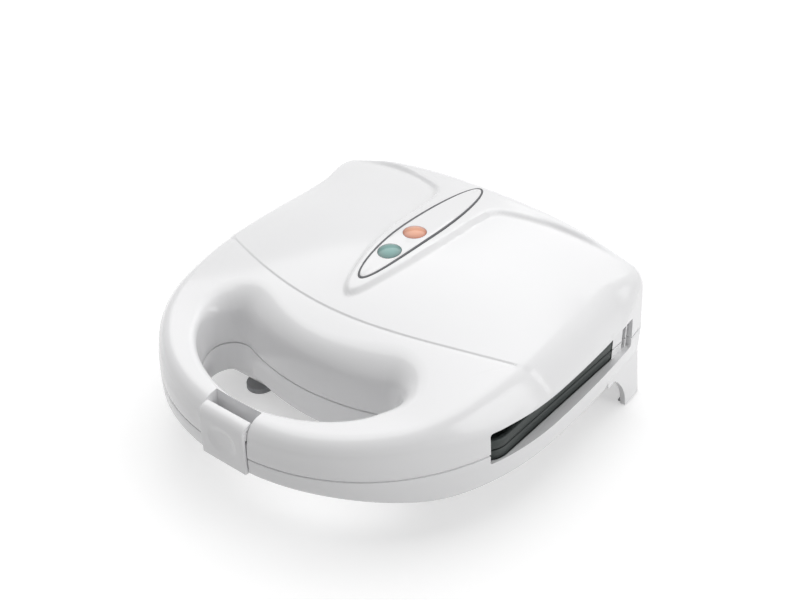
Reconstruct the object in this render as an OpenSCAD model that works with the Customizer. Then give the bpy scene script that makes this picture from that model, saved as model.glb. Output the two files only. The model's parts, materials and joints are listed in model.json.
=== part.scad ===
// Sandwich toaster: two moulded housings that close like a clam on a pair of
// cast plates, with a loop handle at the front and a latch across it.
// +X is right, -Y is the handle side, +Z is up, and the feet stand on z = 0.

/* [Housing outline] */
// Width across the middle
body_w = 228; // [216:1:240]
// Depth from the latch to the back of the hinge barrels
body_d = 222; // [214:1:232]
// Distance from the middle of the depth back to the widest line
wide_line_y = 17; // [12:1:22]
// How much each side draws in from the widest line to the back
back_draw_in = 6; // [3:0.5:9]
// Power of the rounded nose: 2 is an ellipse, more is squarer
nose_power = 2.18; // [2:0.02:2.5]
// Radius of the rear corners in plan
corner_r = 9.5; // [9:0.5:12]
// Thickness of the moulded walls
wall = 3; // [2.4:0.1:3.4]

/* [Handle hole] */
// Width of the hole for the fingers
hole_w = 125; // [110:1:130]
// Radius of the hole's round ends
hole_end_r = 12; // [10:0.5:14]
// Depth of the handle bar in front of the hole
bar_d = 16; // [16:0.5:22]
// How far behind the bar the round ends of the hole stand
hole_l = 39; // [34:1:42]
// Power of the hole's curved front edge
hole_power = 1.8; // [1.6:0.05:2.2]
// Angle at which the round ends run into the hole's rear edge
hole_turn = 110; // [104:1:114]

/* [Heights] */
// Height of the seam between base and lid
seam_z = 42; // [40:0.5:46]
// Gap between the rims at the seam
seam_gap = 0.6; // [0.6:0.1:1.2]
// Height of the lower edge of the base along its sides
skirt_z = 23.6; // [22:0.2:26]
// Height of the underside of the handle at the very front
handle_under_z = 34; // [32:0.5:35]
// How far the belly of the base hangs below its sides
belly_drop = 11; // [9:0.5:13]
// Height of the lid's side edges at the back
lid_side_z = 72; // [70:0.5:76]
// How far the lid's side edges fall from the back to the nose
side_fall = 10.5; // [8:0.5:12]
// Height of the lid's crown
lid_crown_z = 89.6; // [86:0.2:91]
// Height of the flat-topped spine above the crown
spine_rise = 2.4; // [2:0.2:4]
// Radius of the spine's gentle arch along its length
arch_r = 750; // [600:50:1200]

/* [Edges] */
// Rounding of the lid's outer edge
lid_edge_r = 8; // [7:0.5:9]
// Rounding of the lid's edge along the front of the hole
bar_edge_r = 4; // [4:0.5:5]
// Rounding of the lid's edge along the back of the hole
shroud_r = 14; // [10:0.5:16]
// Rounding of the base's lower edges
base_edge_r = 4; // [3.5:0.5:5]
// Inward draft of the side walls
draft = 1.2; // [0.6:0.1:1.6]

/* [Side slots] */
// How far the slot between the rims reaches ahead of the plates
slot_ahead = 0.5; // [0:0.5:3]
// How far the slot reaches behind the plates
slot_behind = 5.5; // [3:0.5:7]
// Depth of the notch in the base rim
slot_down = 6.4; // [6:0.2:7]
// Height of the notch in the lid rim
slot_up = 12.8; // [11:0.2:14]
// Radius of the slot's corners
slot_r = 1.6; // [1:0.2:2]

/* [Cooking plates] */
// Width of each plate
plate_w = 215; // [206:1:216]
// Gap from the middle of the handle hole's round ends back to the plates
plate_front_gap = 18.6; // [18:0.2:24]
// Gap from the plates to the back of the housings
plate_back_gap = 24.5; // [24:0.5:30]
// Radius of the plate's corners
plate_r = 13; // [11:0.5:16]
// Height of the skirt round each plate
plate_skirt = 5.8; // [5:0.2:6]
// Thickness of the cast metal
plate_t = 2.6; // [2.2:0.1:2.8]
// Depth of the wells for the bread
well_d = 12; // [10:0.5:13]
// Slope of the well walls, as inset over the depth
well_draft = 5; // [3:0.5:6]
// Width of the flat rim round the wells
plate_rim = 6; // [5:0.5:8]
// Width of the flat spine between the two slices
plate_spine = 14; // [12:0.5:18]
// Width of the ridge that cuts a slice in two
ridge_w = 4; // [3:0.5:5]

/* [Heating] */
// Diameter of the tubular elements
element_d = 6.6; // [6:0.2:8]
// Bend radius of the elements at the tube's centre
element_bend = 14; // [12:1:18]
// Distance between the two legs of an element
element_w = 150; // [140:2:160]
// Thickness of the reflector sheets
reflector_t = 0.8; // [0.5:0.1:1]

/* [Hinge] */
// Distance of the hinge pins from the middle of the width
hinge_x = 66; // [58:1:72]
// Width of each lid knuckle
knuckle_w = 14; // [12:0.5:18]
// Radius of the hinge knuckles
knuckle_r = 5; // [4.5:0.25:5]
// Radius of the hinge pins
pin_r = 2; // [1.5:0.25:2.25]
// Gap between the knuckles along the pin
knuckle_gap = 0.5; // [0.4:0.1:0.8]

/* [Latch] */
// Width of the latch
latch_w = 30; // [26:0.5:32]
// Thickness of the latch's front
latch_t = 3.4; // [2.8:0.2:3.6]
// How far the latch stands out of the handle
latch_proud = 1.9; // [1.4:0.1:2.4]
// Height of the latch pin above the seam
latch_pin_up = 13; // [12:0.5:13.5]
// Height of the top of the latch above the seam
latch_top_up = 19.4; // [18.5:0.2:20]
// Radius of the latch pin
latch_pin_r = 1.5; // [1.25:0.25:1.75]
// Depth of the pocket behind the top of the latch
pocket_d = 7.5; // [6.5:0.5:8]

/* [Indicator panel] */
// Gap from the front plate screw's post back to the panel's front tip
panel_front_gap = 2.5; // [2:0.5:8]
// Width of the panel
panel_w = 20.8; // [19:0.2:24]
// Gap from the panel's rear tip to the back of the housings
panel_back_gap = 8.5; // [8:0.5:14]
// Height of the panel above the lid's spine
panel_proud = 0.6; // [0.4:0.1:1]
// Distance from the panel's front tip to the front lamp
lamp_from_tip = 26; // [22:0.5:30]
// Distance between the two lamps
lamp_pitch = 21.5; // [20:0.5:24]
// Diameter of the lamp lenses
lamp_d = 13; // [11:0.5:14]
// Height of the lens domes
lamp_dome = 1.6; // [1:0.1:2]

/* [Feet] */
// Distance of the front feet from the middle of the width
front_foot_x = 60; // [54:1:66]
// Distance from the middle of the hole's round ends back to the front feet
front_foot_back = 28.1; // [26:0.1:34]
// Radius of the front feet
foot_r = 8; // [7:0.5:9]
// Height of the rubber under the feet and legs
pad_h = 1; // [0.8:0.1:1.5]
// Length of each rear leg along the side, at the floor
leg_l = 15; // [13:0.5:18]
// How far the rear legs stand ahead of the back at the floor
leg_rake = 9; // [7:0.5:11]
// Length of each rear leg across the back
leg_back_w = 24; // [18:1:30]

/* [Cord inlet] */
// Distance of the inlet from the middle of the width
inlet_x = 36; // [30:1:44]
// Radius of the hole through the inlet bush
inlet_r = 3.6; // [3:0.1:4]
// Radius of the inlet bush
inlet_bush_r = 5.4; // [5:0.1:5.6]

/* [Hidden] */

$fn = 48;
eps = 0.01;
fit_gap = 0.4;    // between parts that move past each other
run_gap = 0.05;   // radial, pin in its bore
seat_gap = 0.02;  // between parts that are clamped or pushed together
hinge_back = 4;   // from the hinge line to the back of the housings
hinge_slope = 0.7; // lean of the relief behind the hinge line
screw_inset = 23; // from the plate's edges to its screws
post_r = 4;       // of the posts that the plates are screwed to

half_w = body_w / 2;
back_y = body_d / 2 - 1;
nose_front = -body_d / 2 + latch_proud;
nose_len = wide_line_y - nose_front;
hinge_y = body_d / 2 - knuckle_r;
hinge_z = seam_z;
lid_rim_z = seam_z + seam_gap / 2;
base_rim_z = seam_z - seam_gap / 2;

// The number of points that share each stretch of the outlines.
nose_n = 12;
flank_n = 3;
side_n = 6;
corner_n = 4;
back_n = 5;
nose_turn = 61;

function smooth(t) = let (c = max(0, min(1, t))) c * c * (3 - 2 * c);
function mix(a, b, t) = a + (b - a) * t;
function xy(p, z) = [p.x, p.y, z];

// Outer outline: a superelliptic nose, sides that draw in, round rear corners.
function nose_pt(t) = [
    half_w * pow(sin(t), 2 / nose_power),
    wide_line_y - nose_len * pow(cos(t), 2 / nose_power)
];
function side_x(y) =
    half_w - back_draw_in * pow((y - wide_line_y) / (back_y - wide_line_y), 2);
corner_y = back_y - corner_r;
corner_x = side_x(corner_y) - corner_r;
outline_right = concat(
    [for (i = [0:nose_n - 1]) nose_pt(nose_turn * i / nose_n)],
    [for (i = [0:flank_n - 1]) nose_pt(mix(nose_turn, 90, i / flank_n))],
    [for (i = [0:side_n - 1])
        let (y = mix(wide_line_y, corner_y, i / side_n)) [side_x(y), y]],
    [for (i = [0:corner_n - 1])
        let (t = 90 * i / corner_n)
        [corner_x + corner_r * cos(t), corner_y + corner_r * sin(t)]],
    [for (i = [0:back_n]) [corner_x * (1 - i / back_n), back_y]]
);

// Outline of the handle hole, with one point for each point of the outer one.
hole_x = hole_w / 2;
hole_front = nose_front + bar_d;
hole_y = hole_front + hole_l;
hole_pivot_x = hole_x - hole_end_r;
hole_back_x = hole_pivot_x + hole_end_r * cos(hole_turn);
hole_sag = tan(hole_turn - 90) / (2 * hole_back_x);
hole_back_y = hole_y + hole_end_r * sin(hole_turn) - hole_sag * pow(hole_back_x, 2);
function hole_back(x) = [x, hole_back_y + hole_sag * x * x];
hole_right = concat(
    [for (i = [0:nose_n - 1])
        let (t = 90 * i / nose_n)
        [hole_x * pow(sin(t), 2 / hole_power),
         hole_y - hole_l * pow(cos(t), 2 / hole_power)]],
    [for (i = [0:flank_n + side_n - 1])
        let (t = hole_turn * i / (flank_n + side_n))
        [hole_pivot_x + hole_end_r * cos(t), hole_y + hole_end_r * sin(t)]],
    [for (i = [0:corner_n + back_n])
        hole_back(hole_back_x * (1 - i / (corner_n + back_n)))]
);

function mirrored(right) =
    concat(right, [for (i = [len(right) - 2:-1:1]) [-right[i].x, right[i].y]]);
outline = mirrored(outline_right);
hole = mirrored(hole_right);
ring_n = len(outline);

// Unit vectors that point out of each outline.
function out_dir(ring, i) =
    let (n = len(ring), d = ring[(i + 1) % n] - ring[(i + n - 1) % n])
    [d.y, -d.x] / norm(d);
outline_dir = [for (i = [0:ring_n - 1]) out_dir(outline, i)];
hole_dir = [for (i = [0:ring_n - 1]) out_dir(hole, i)];

// The same outline, drawn in by d, with its corners between those above.
function inset_outline(d) =
    [for (i = [0:ring_n - 1])
        let (j = (i + 1) % ring_n)
        (outline[i] + outline[j] - (outline_dir[i] + outline_dir[j]) * d) / 2];
leg_inset = draft / 2 + 0.2;

// Height of the lid over the plan: crown along the middle, lower side edges.
// A flat-topped spine and a band along the back stand above it, as a T.
plate_front = hole_y + plate_front_gap;
plate_back = back_y - plate_back_gap;
plate_l = plate_back - plate_front;
plate_y = (plate_front + plate_back) / 2;
screw_y = plate_l / 2 - screw_inset;
panel_front = plate_y - screw_y + post_r + panel_front_gap;
panel_l = back_y - panel_back_gap - panel_front;
panel_y = panel_front + panel_l / 2;
ready_y = panel_front + lamp_from_tip;
arch_y = plate_y + 13;
side_top_y = back_y - 50;
crown_y = back_y - 65;
crown_front_k = 0.0019;
crown_back_k = 0.0008;
spine_top_z = lid_crown_z + spine_rise;
spine_ramp = 17;
spine_front_y = panel_front - spine_ramp - 1;
spine_half_w = panel_w / 2 + 1.5;
spine_fade = 13;
band_front_y = back_y - 22;
function edge_z(y) =
    lid_side_z - side_fall * pow((side_top_y - y) / (side_top_y - nose_front), 2);
function crown_z(y) =
    let (k = y < crown_y ? crown_front_k : crown_back_k,
         c = lid_crown_z - k * pow(crown_y - y, 2),
         e = edge_z(y))
    (c + e + sqrt(pow(c - e, 2) + 9)) / 2;
function spine_z(y) = spine_top_z - pow(y - arch_y, 2) / (2 * arch_r);
function land(p) =
    smooth((p.y - spine_front_y) / spine_ramp)
        * max(smooth((spine_half_w + spine_fade - abs(p.x)) / spine_fade),
              smooth((p.y - band_front_y) / spine_fade));
function lid_z(p) =
    let (e = edge_z(p.y), s = min(1, abs(p.x) / (half_w - 4)),
         top = mix(crown_z(p.y), spine_z(p.y), land(p)))
    e + (top - e) * (1 - pow(s, 2.2));

// Height of the underside: the handle is thin, and the belly hangs lowest.
function skirt(y) =
    mix(handle_under_z, skirt_z, smooth((y - nose_front) / 60));
function base_z(p) =
    skirt(p.y) - belly_drop
        * smooth((side_x(max(p.y, wide_line_y)) - 10 - abs(p.x)) / 24)
        * smooth((p.y - hole_y + hole_end_r - 20) / 14)
        * smooth((back_y - 6 - p.y) / 24);

// Behind the hinge line both housings lean away from the seam, so that the
// lid can swing back past upright.
function relief_y(y, rise, skin) =
    min(y, hinge_y - 0.5 + hinge_slope * rise - skin);
relief_h = (hinge_back + 0.5) / hinge_slope + 1.4;

// One cross-section of a skin, from the rim round the hole, up its wall, over
// the top and down to the outer rim. skin is the depth under the outer face.
function hole_r(y) =
    mix(bar_edge_r, shroud_r, smooth((y - hole_y + 10) / 22));
function lid_skin(i, skin, arcs, spans) =
    let (b = outline[i], nb = outline_dir[i], a = hole[i], na = hole_dir[i],
         ro = max(1, lid_edge_r - skin), ri = max(1, hole_r(a.y) - skin),
         inset = skin + draft,
         ai = a + na * (inset + ri), bi = b - nb * (inset + ro))
    concat(
        [xy(a + na * skin, lid_rim_z)],
        [for (k = [0:arcs])
            let (t = 90 * k / arcs, p = a + na * (inset + ri * (1 - cos(t))))
            xy(p, lid_z(p) - skin - ri * (1 - sin(t)))],
        [for (k = [1:spans])
            let (p = mix(ai, bi, k / (spans + 1))) xy(p, lid_z(p) - skin)],
        [for (k = [arcs:-1:0])
            let (t = 90 * k / arcs, p = b - nb * (inset + ro * (1 - cos(t))))
            xy(p, lid_z(p) - skin - ro * (1 - sin(t)))],
        [let (p = b - nb * (skin + draft / 4)) xy(p, lid_rim_z + relief_h),
         let (p = b - nb * skin)
            [p.x, relief_y(p.y, seam_gap / 2, skin), lid_rim_z]]
    );

function base_skin(i, skin, arcs, spans) =
    let (b = outline[i], nb = outline_dir[i], a = hole[i], na = hole_dir[i],
         r = max(0.8, base_edge_r - skin), inset = skin + draft / 2,
         ai = a + na * (inset + r), bi = b - nb * (inset + r))
    concat(
        [xy(a + na * skin, base_rim_z)],
        [for (k = [0:arcs])
            let (t = 90 * k / arcs, p = a + na * (inset + r * (1 - cos(t))))
            xy(p, base_z(p) + skin + r * (1 - sin(t)))],
        [for (k = [1:spans])
            let (p = mix(ai, bi, (1 - cos(180 * k / (spans + 1))) / 2))
            xy(p, base_z(p) + skin)],
        [for (k = [arcs:-1:0])
            let (t = 90 * k / arcs, p = b - nb * (inset + r * (1 - cos(t))))
            xy(p, base_z(p) + skin + r * (1 - sin(t)))],
        [let (p = b - nb * (skin + draft / 8)) xy(p, base_rim_z - relief_h),
         let (p = b - nb * skin)
            [p.x, relief_y(p.y, seam_gap / 2, skin), base_rim_z]]
    );

// A closed solid from one loop of points for each place round the outline.
// Every quad is split along the diagonal that suits a ring with no ends.
module ring_loft(loops) {
    n = len(loops);
    m = len(loops[0]);
    polyhedron(
        points = [for (loop = loops) each loop],
        faces = [for (i = [0:n - 1], j = [0:m - 1])
            let (a = i * m + j, b = i * m + (j + 1) % m,
                 c = ((i + 1) % n) * m + (j + 1) % m, d = ((i + 1) % n) * m + j)
            each [[a, c, b], [a, d, c]]]
    );
}

function reversed(list) = [for (i = [len(list) - 1:-1:0]) list[i]];

// Helpers for simple solids.
module rounded_plate(w, l, r, h) {
    linear_extrude(h) rounded_rect(w, l, r);
}

module rounded_rect(w, l, r) {
    square([w - 2 * r, l], center = true);
    square([w, l - 2 * r], center = true);
    for (sx = [-1, 1], sy = [-1, 1])
        translate([sx * (w / 2 - r), sy * (l / 2 - r)]) circle(r);
}

// A bar along X whose profile is drawn in the Y-Z plane.
module along_x(w) {
    rotate([90, 0, 90]) translate([0, 0, -w / 2]) linear_extrude(w) children();
}

module both_sides() {
    children();
    mirror([1, 0, 0]) children();
}

// ---- Base and lid housings

slot_l = slot_ahead + plate_l + slot_behind;
slot_y = plate_y + (slot_behind - slot_ahead) / 2;
module side_slots() {
    both_sides()
        translate([half_w, slot_y, seam_z + (slot_up - slot_down) / 2])
            along_x(2 * (half_w - plate_w / 2 + 6))
                rounded_rect(slot_l, slot_up + slot_down, slot_r);
}

// Room for the plates, flush with the rims.
module plate_bay(z0, h) {
    translate([0, plate_y, z0])
        rounded_plate(plate_w + 2 * fit_gap, plate_l + 2 * fit_gap,
                      plate_r + fit_gap, h);
}

// Notch round the hinge knuckles in each rear rim.
module hinge_notches(z0) {
    both_sides()
        translate([hinge_x - hinge_w / 2 - fit_gap, hinge_y - knuckle_r - 1.5, z0])
            cube([hinge_w + 2 * fit_gap, 30, knuckle_r + 1.5 + 10]);
}

base_knuckle_w = knuckle_w / 2;
base_knuckle_x = knuckle_w / 2 + knuckle_gap + base_knuckle_w / 2;
hinge_w = knuckle_w + 2 * (knuckle_gap + base_knuckle_w);

// Latch geometry, shared with both handle halves.
latch_front = -body_d / 2;
latch_back = latch_front + latch_t;
latch_pin_y = latch_front + 7.5;
latch_pin_z = seam_z + latch_pin_up;
latch_top_z = seam_z + latch_top_up;
latch_room = 0.5;
latch_back_room = 0.9;
latch_low_z = handle_under_z - 0.2;
nib = 0.6;
nib_h = 2.6;
panel_depth = 9;

// Posts that the plates are screwed to, drawn from the seam's side; the lid's
// rear post hangs from a bridge under the indicator panel.
module screw_posts(to) {
    for (y = [-1, 1]) translate([0, y * screw_y, 0]) difference() {
        translate([0, 0, to]) cylinder(r = post_r, h = reflector_z - reflector_t - to);
        translate([0, 0, reflector_z - reflector_t - screw_grip - 0.6])
            cylinder(r = screw_r + 0.03, h = 10);
    }
}

module post_bridge() {
    y = plate_y + screw_y;
    x0 = panel_w / 2 + 4;
    x1 = x0 + 2.5;
    z = panel_top_z - panel_depth - 1;
    top = lid_z([x1, y]) - wall * 0.6;
    translate([0, y, 0]) rotate([90, 0, 0])
        linear_extrude(2 * post_r, center = true) polygon([
            [-x1, z - 4], [x1, z - 4], [x1, top], [x0, top], [x0, z],
            [-x0, z], [-x0, top], [-x1, top]
        ]);
}

// Flat pads on the rear walls that the hinge plates are fixed to.
module hinge_pads(z0, h) {
    both_sides()
        translate([hinge_x - hinge_w / 2 + 1, hinge_y + hinge_plate_back, z0])
            cube([hinge_w - 2, wall / 2, h]);
}

// Room for the latch: a slot down the front and a pocket behind its top edge.
module latch_room_in_lid() {
    back = latch_back + latch_back_room;
    pocket = latch_pin_y + pocket_d;
    floor_z = latch_pin_z - 4.6;
    along_x(latch_w + 2 * latch_room) polygon([
        [latch_front - 5, seam_z - 10], [back, seam_z - 10], [back, floor_z],
        [pocket, floor_z], [pocket, seam_z + 60], [latch_front - 5, seam_z + 60]
    ]);
}

// The slot carries on down the base, with a groove that the latch's nib faces.
module latch_room_in_base() {
    back = latch_back + latch_back_room;
    z0 = latch_low_z + 0.4;
    along_x(latch_w + 2 * latch_room) polygon([
        [latch_front - 5, -10], [back, -10], [back, z0], [back + 1, z0 + 0.6],
        [back + 1, z0 + nib_h], [back, z0 + nib_h + 0.6], [back, seam_z + 10],
        [latch_front - 5, seam_z + 10]
    ]);
}

// Stiffening gussets between the rear wall and the roof or the floor.
gusset_t = 2;
gussets_x = [19, 84, 92, 100];
module gusset(x, foot_z, head_z, head_y) {
    y1 = back_y - wall * 0.6 - draft;
    hull() {
        translate([x - gusset_t / 2, y1 - wall, min(foot_z, head_z)])
            cube([gusset_t, wall, abs(head_z - foot_z)]);
        translate([x - gusset_t / 2, head_y, head_z - 0.5])
            cube([gusset_t, 1, 1]);
    }
}

module lid_gussets() {
    for (side = [-1, 1], x = gussets_x) {
        head_y = back_y - 13;
        gusset(side * x, lid_rim_z + 12, lid_z([x, head_y]) - wall * 0.6 - 2, head_y);
    }
}

module base_gussets() {
    for (side = [-1, 1], x = gussets_x) {
        head_y = back_y - 12;
        gusset(side * x, base_rim_z - 10, base_z([x, head_y]) + wall * 0.5, head_y);
    }
}

module lid_housing() {
    color("white") union() {
        difference() {
            ring_loft([for (i = [0:ring_n - 1]) concat(
                lid_skin(i, 0, 3, 9), reversed(lid_skin(i, wall, 2, 4)))]);
            side_slots();
            plate_bay(seam_z - 5, plate_skirt + 5 + seam_gap);
            hinge_notches(lid_rim_z - 10);
            latch_room_in_lid();
            translate([0, latch_pin_y, latch_pin_z]) rotate([0, 90, 0])
                cylinder(r = latch_pin_r + 0.03, h = latch_w + 9, center = true);
            // Opening that the indicator panel closes.
            translate([0, panel_y, panel_top_z - 30])
                oval_prism(panel_w + 0.1, panel_l + 0.3, 60);
        }
        lid_gussets();
        in_lid() screw_posts(lid_rim_z - lid_z([0, plate_y - screw_y]) + wall / 2);
        post_bridge();
        hinge_pads(seam_z + lid_plate_from, hinge_tall_up - lid_plate_from);
    }
}

module base_housing() {
    color("white") union() {
        difference() {
            union() {
                ring_loft([for (i = [0:ring_n - 1]) concat(
                    reversed(base_skin(i, 0, 2, 6)), base_skin(i, wall, 1, 6))]);
                rear_legs();
                front_foot_bosses();
                clamp_bosses();
            }
            side_slots();
            plate_bay(base_rim_z - plate_skirt - 0.2, 20);
            hinge_notches(base_rim_z - knuckle_r - 1.2);
            latch_room_in_base();
            translate([inlet_x, back_y, inlet_z]) rotate([90, 0, 0]) {
                cylinder(r = inlet_bush_r + 0.05, h = 12, center = true);
                translate([0, 0, -9]) cylinder(r = inlet_flange_r + 0.2, h = 10);
            }
        }
        base_gussets();
        in_base() screw_posts(skirt_z - belly_drop + wall / 2 - base_rim_z);
        hinge_pads(seam_z - hinge_tall_down, hinge_tall_down - knuckle_r - 2);
    }
}

// Each leg is the rear corner of the skirt carried down to the floor: the side
// wall with an arched front edge, and a raked wall across the back.
module rear_legs() {
    top_z = skirt_z + 10;
    foot_back = back_y - leg_rake;
    back_x = corner_x + corner_r - leg_back_w;
    both_sides() intersection() {
        linear_extrude(top_z) polygon(inset_outline(leg_inset));
        translate([back_x + 50, 0, 0]) union() {
            difference() {
                along_x(100) leg_profile(top_z, foot_back, 20);
                translate([-back_x - 50, 0, -1]) linear_extrude(top_z + 20)
                    polygon(inset_outline(wall));
            }
            along_x(100) difference() {
                leg_profile(top_z, foot_back, 0);
                translate([-wall * 1.1, 0]) leg_profile(top_z + 5, foot_back, 60);
            }
        }
    }
}

module leg_profile(top_z, foot_back, ahead) {
    foot_front = foot_back - leg_l;
    polygon(concat(
        [[foot_back, pad_h], [back_y + 1, top_z - 2], [back_y + 1, top_z + 5],
         [foot_front - ahead, top_z + 5]],
        [for (t = [0:15:90])
            [foot_front - 9 * cos(t) * (ahead > 0 ? 1 : 0.2), skirt_z + 1 - 9 * sin(t)]],
        [[foot_front + 1, pad_h]]
    ));
}

front_foot_y = hole_y + front_foot_back;
module front_foot_bosses() {
    for (side = [-1, 1])
        translate([side * front_foot_x, front_foot_y, 3])
            cylinder(r1 = foot_r + 0.4, r2 = foot_r + 2,
                     h = skirt_z - belly_drop - 3 + wall / 2);
}

// Pillars on the floor for the cord clamp and the terminal block.
clamp_y = back_y - 13;
clamp_z = skirt_z + 4.4;
clamp_w = 18;
clamp_l = 7;
cord_r = 3.4;
block_x = 0;
block_w = 30;
block_l = 10;
block_h = 9;
pole_pitch = 9;
module clamp_bosses() {
    for (x = [inlet_x - clamp_w / 2, inlet_x + clamp_w / 2,
              block_x - block_w / 2 + 4, block_x + block_w / 2 - 4])
        translate([x, clamp_y, skirt_z - 5]) cylinder(r = 3, h = clamp_z - skirt_z + 5);
}

// ---- Cooking plates

function centre_of(t) =
    let (a = norm(t[1] - t[2]), b = norm(t[0] - t[2]), c = norm(t[0] - t[1]))
    (t[0] * a + t[1] * b + t[2] * c) / (a + b + c);
function inner_r(t) =
    let (a = norm(t[1] - t[2]), b = norm(t[0] - t[2]), c = norm(t[0] - t[1]),
         s = (a + b + c) / 2)
    sqrt((s - a) * (s - b) * (s - c) / s);

// A triangle with its corners cut, shrunk by inset, whose walls lean inwards.
module tapered_triangle(t, inset, lean, h) {
    c = centre_of(t);
    r = inner_r(t);
    k = (r - inset) / r;
    trim = 0.12;
    corners = [for (i = [0:2])
        let (p = t[i] - c, q = t[(i + 1) % 3] - c, o = t[(i + 2) % 3] - c)
        each [mix(p, o, trim) * k, mix(p, mix(q, o, 0.5), trim * 0.62) * k, mix(p, q, trim) * k]];
    translate([c.x, c.y, 0])
        linear_extrude(h, scale = (r - inset - lean) / (r - inset))
            polygon(corners);
}

slice_x0 = plate_spine / 2;
slice_x1 = plate_w / 2 - plate_rim;
slice_y0 = -plate_l / 2 + plate_rim;
slice_y1 = plate_l / 2 - plate_rim;
triangles = [
    [[slice_x0, slice_y0], [slice_x1, slice_y0], [slice_x1, slice_y1]],
    [[slice_x0, slice_y0], [slice_x1, slice_y1], [slice_x0, slice_y1]]
];

// Plate with its cooking face up at z = 0 and everything else below it.
module grill_plate() {
    difference() {
        union() {
            translate([0, 0, -plate_t])
                rounded_plate(plate_w, plate_l, plate_r, plate_t);
            translate([0, 0, -plate_skirt]) difference() {
                rounded_plate(plate_w, plate_l, plate_r, plate_skirt);
                translate([0, 0, -1]) rounded_plate(plate_w - 2 * plate_t,
                    plate_l - 2 * plate_t, plate_r - plate_t, plate_skirt);
            }
            both_sides() for (t = triangles)
                mirror([0, 0, 1]) tapered_triangle(
                    t, ridge_w / 2 - plate_t * 0.6, well_draft, well_d + plate_t);
            for (y = [-1, 1]) translate([0, y * screw_y, reflector_z])
                cylinder(r = 4.5, h = -reflector_z);
        }
        both_sides() for (t = triangles)
            translate([0, 0, eps]) mirror([0, 0, 1])
                tapered_triangle(t, ridge_w / 2, well_draft, well_d);
        for (y = [-1, 1]) translate([0, y * screw_y, 0]) {
            translate([0, 0, reflector_z - 1]) cylinder(r = screw_r + 0.2, h = 40);
            translate([0, 0, -screw_head_h])
                cylinder(r1 = screw_r + 0.06, r2 = screw_head_r + 0.26,
                         h = screw_head_h + 0.2);
        }
    }
}

base_plate_z = base_rim_z;
lid_plate_z = lid_rim_z;
module in_base() {
    translate([0, plate_y, base_plate_z]) children();
}
module in_lid() {
    translate([0, plate_y, lid_plate_z]) mirror([0, 0, 1]) children();
}

module base_grill_plate() {
    color([0.16, 0.18, 0.18]) in_base() grill_plate();
}

module lid_grill_plate() {
    color([0.16, 0.18, 0.18]) in_lid() grill_plate();
}

// ---- Heating, drawn below a plate whose face is at z = 0

element_z = -well_d - plate_t - element_d / 2 - seat_gap;
element_l = plate_l - 26;
reflector_z = element_z - element_d / 2 - seat_gap;
reflector_l = element_l + 12;

module heating_element() {
    leg = element_l - element_bend;
    front = -element_l / 2;
    translate([0, 0, element_z]) {
        both_sides() {
            translate([element_w / 2, front + element_bend, 0]) rotate([-90, 0, 0])
                cylinder(d = element_d, h = leg);
            translate([element_w / 2 - element_bend, front + element_bend, 0])
                rotate([0, 0, -90]) rotate_extrude(angle = 90)
                    translate([element_bend, 0]) circle(d = element_d);
        }
        translate([0, front, 0]) rotate([0, 90, 0])
            cylinder(d = element_d, h = element_w - 2 * element_bend, center = true);
    }
}

terminal_l = 9;
module element_terminals() {
    both_sides() translate([element_w / 2, element_l / 2, element_z])
        rotate([-90, 0, 0]) {
            cylinder(d = element_d, h = 3);
            cylinder(d = element_d - 3, h = terminal_l);
        }
}

module reflector() {
    w = element_w + 14;
    l = reflector_l;
    translate([0, 0, reflector_z - reflector_t]) difference() {
        union() {
            rounded_plate(w, l, plate_r, reflector_t);
            // Lips along both sides.
            both_sides() translate([w / 2 - reflector_t, plate_r - l / 2, 0])
                cube([reflector_t, l - 2 * plate_r, 3]);
        }
        for (y = [-1, 1]) translate([0, y * screw_y, -1]) cylinder(r = 2, h = 6);
    }
}

// Countersunk screws that clamp plate, element and reflector to the posts.
screw_r = 1.6;
screw_head_h = 1.8;
screw_head_r = screw_r + screw_head_h;
screw_grip = 3.2;
module plate_screws() {
    low = reflector_z - reflector_t - screw_grip;
    for (y = [-1, 1]) translate([0, y * screw_y, 0]) {
        translate([0, 0, low]) cylinder(r = screw_r, h = -low - screw_head_h / 2);
        translate([0, 0, -screw_head_h])
            cylinder(r1 = screw_r, r2 = screw_head_r, h = screw_head_h);
    }
}

module base_heating_element() {
    color("silver") in_base() heating_element();
}
module lid_heating_element() {
    color("silver") in_lid() heating_element();
}
module base_element_terminals() {
    color("wheat") in_base() element_terminals();
}
module lid_element_terminals() {
    color("wheat") in_lid() element_terminals();
}
module base_reflector() {
    color("lightgray") in_base() reflector();
}
module lid_reflector() {
    color("lightgray") in_lid() reflector();
}
module base_plate_screws() {
    color("gray") in_base() plate_screws();
}
module lid_plate_screws() {
    color("gray") in_lid() plate_screws();
}

// ---- Feet

module front_feet() {
    color("dimgray") for (side = [-1, 1])
        translate([side * front_foot_x, front_foot_y, 0]) cylinder(r = foot_r, h = 3);
}

module rear_leg_pads() {
    foot_back = back_y - leg_rake;
    color("dimgray") both_sides() intersection() {
        difference() {
            linear_extrude(pad_h) polygon(inset_outline(leg_inset + 0.2));
            translate([0, 0, -1]) linear_extrude(pad_h + 2)
                polygon(inset_outline(wall - 0.2));
        }
        translate([half_w / 2, foot_back - leg_l + 1.2, -1])
            cube([half_w, leg_l - 2, pad_h + 2]);
    }
}

// ---- Mains inlet and what stands in the base

inlet_z = skirt_z + base_edge_r + inlet_bush_r - 2;
inlet_flange_r = inlet_bush_r + 1.4;
module inlet_bush() {
    color("white") translate([inlet_x, back_y + 0.2, inlet_z]) rotate([90, 0, 0])
        difference() {
            union() {
                cylinder(r = inlet_bush_r, h = wall + 3);
                cylinder(r = inlet_flange_r, h = 1.2);
            }
            translate([0, 0, -1]) cylinder(r = inlet_r, h = wall + 6);
        }
}

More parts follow.
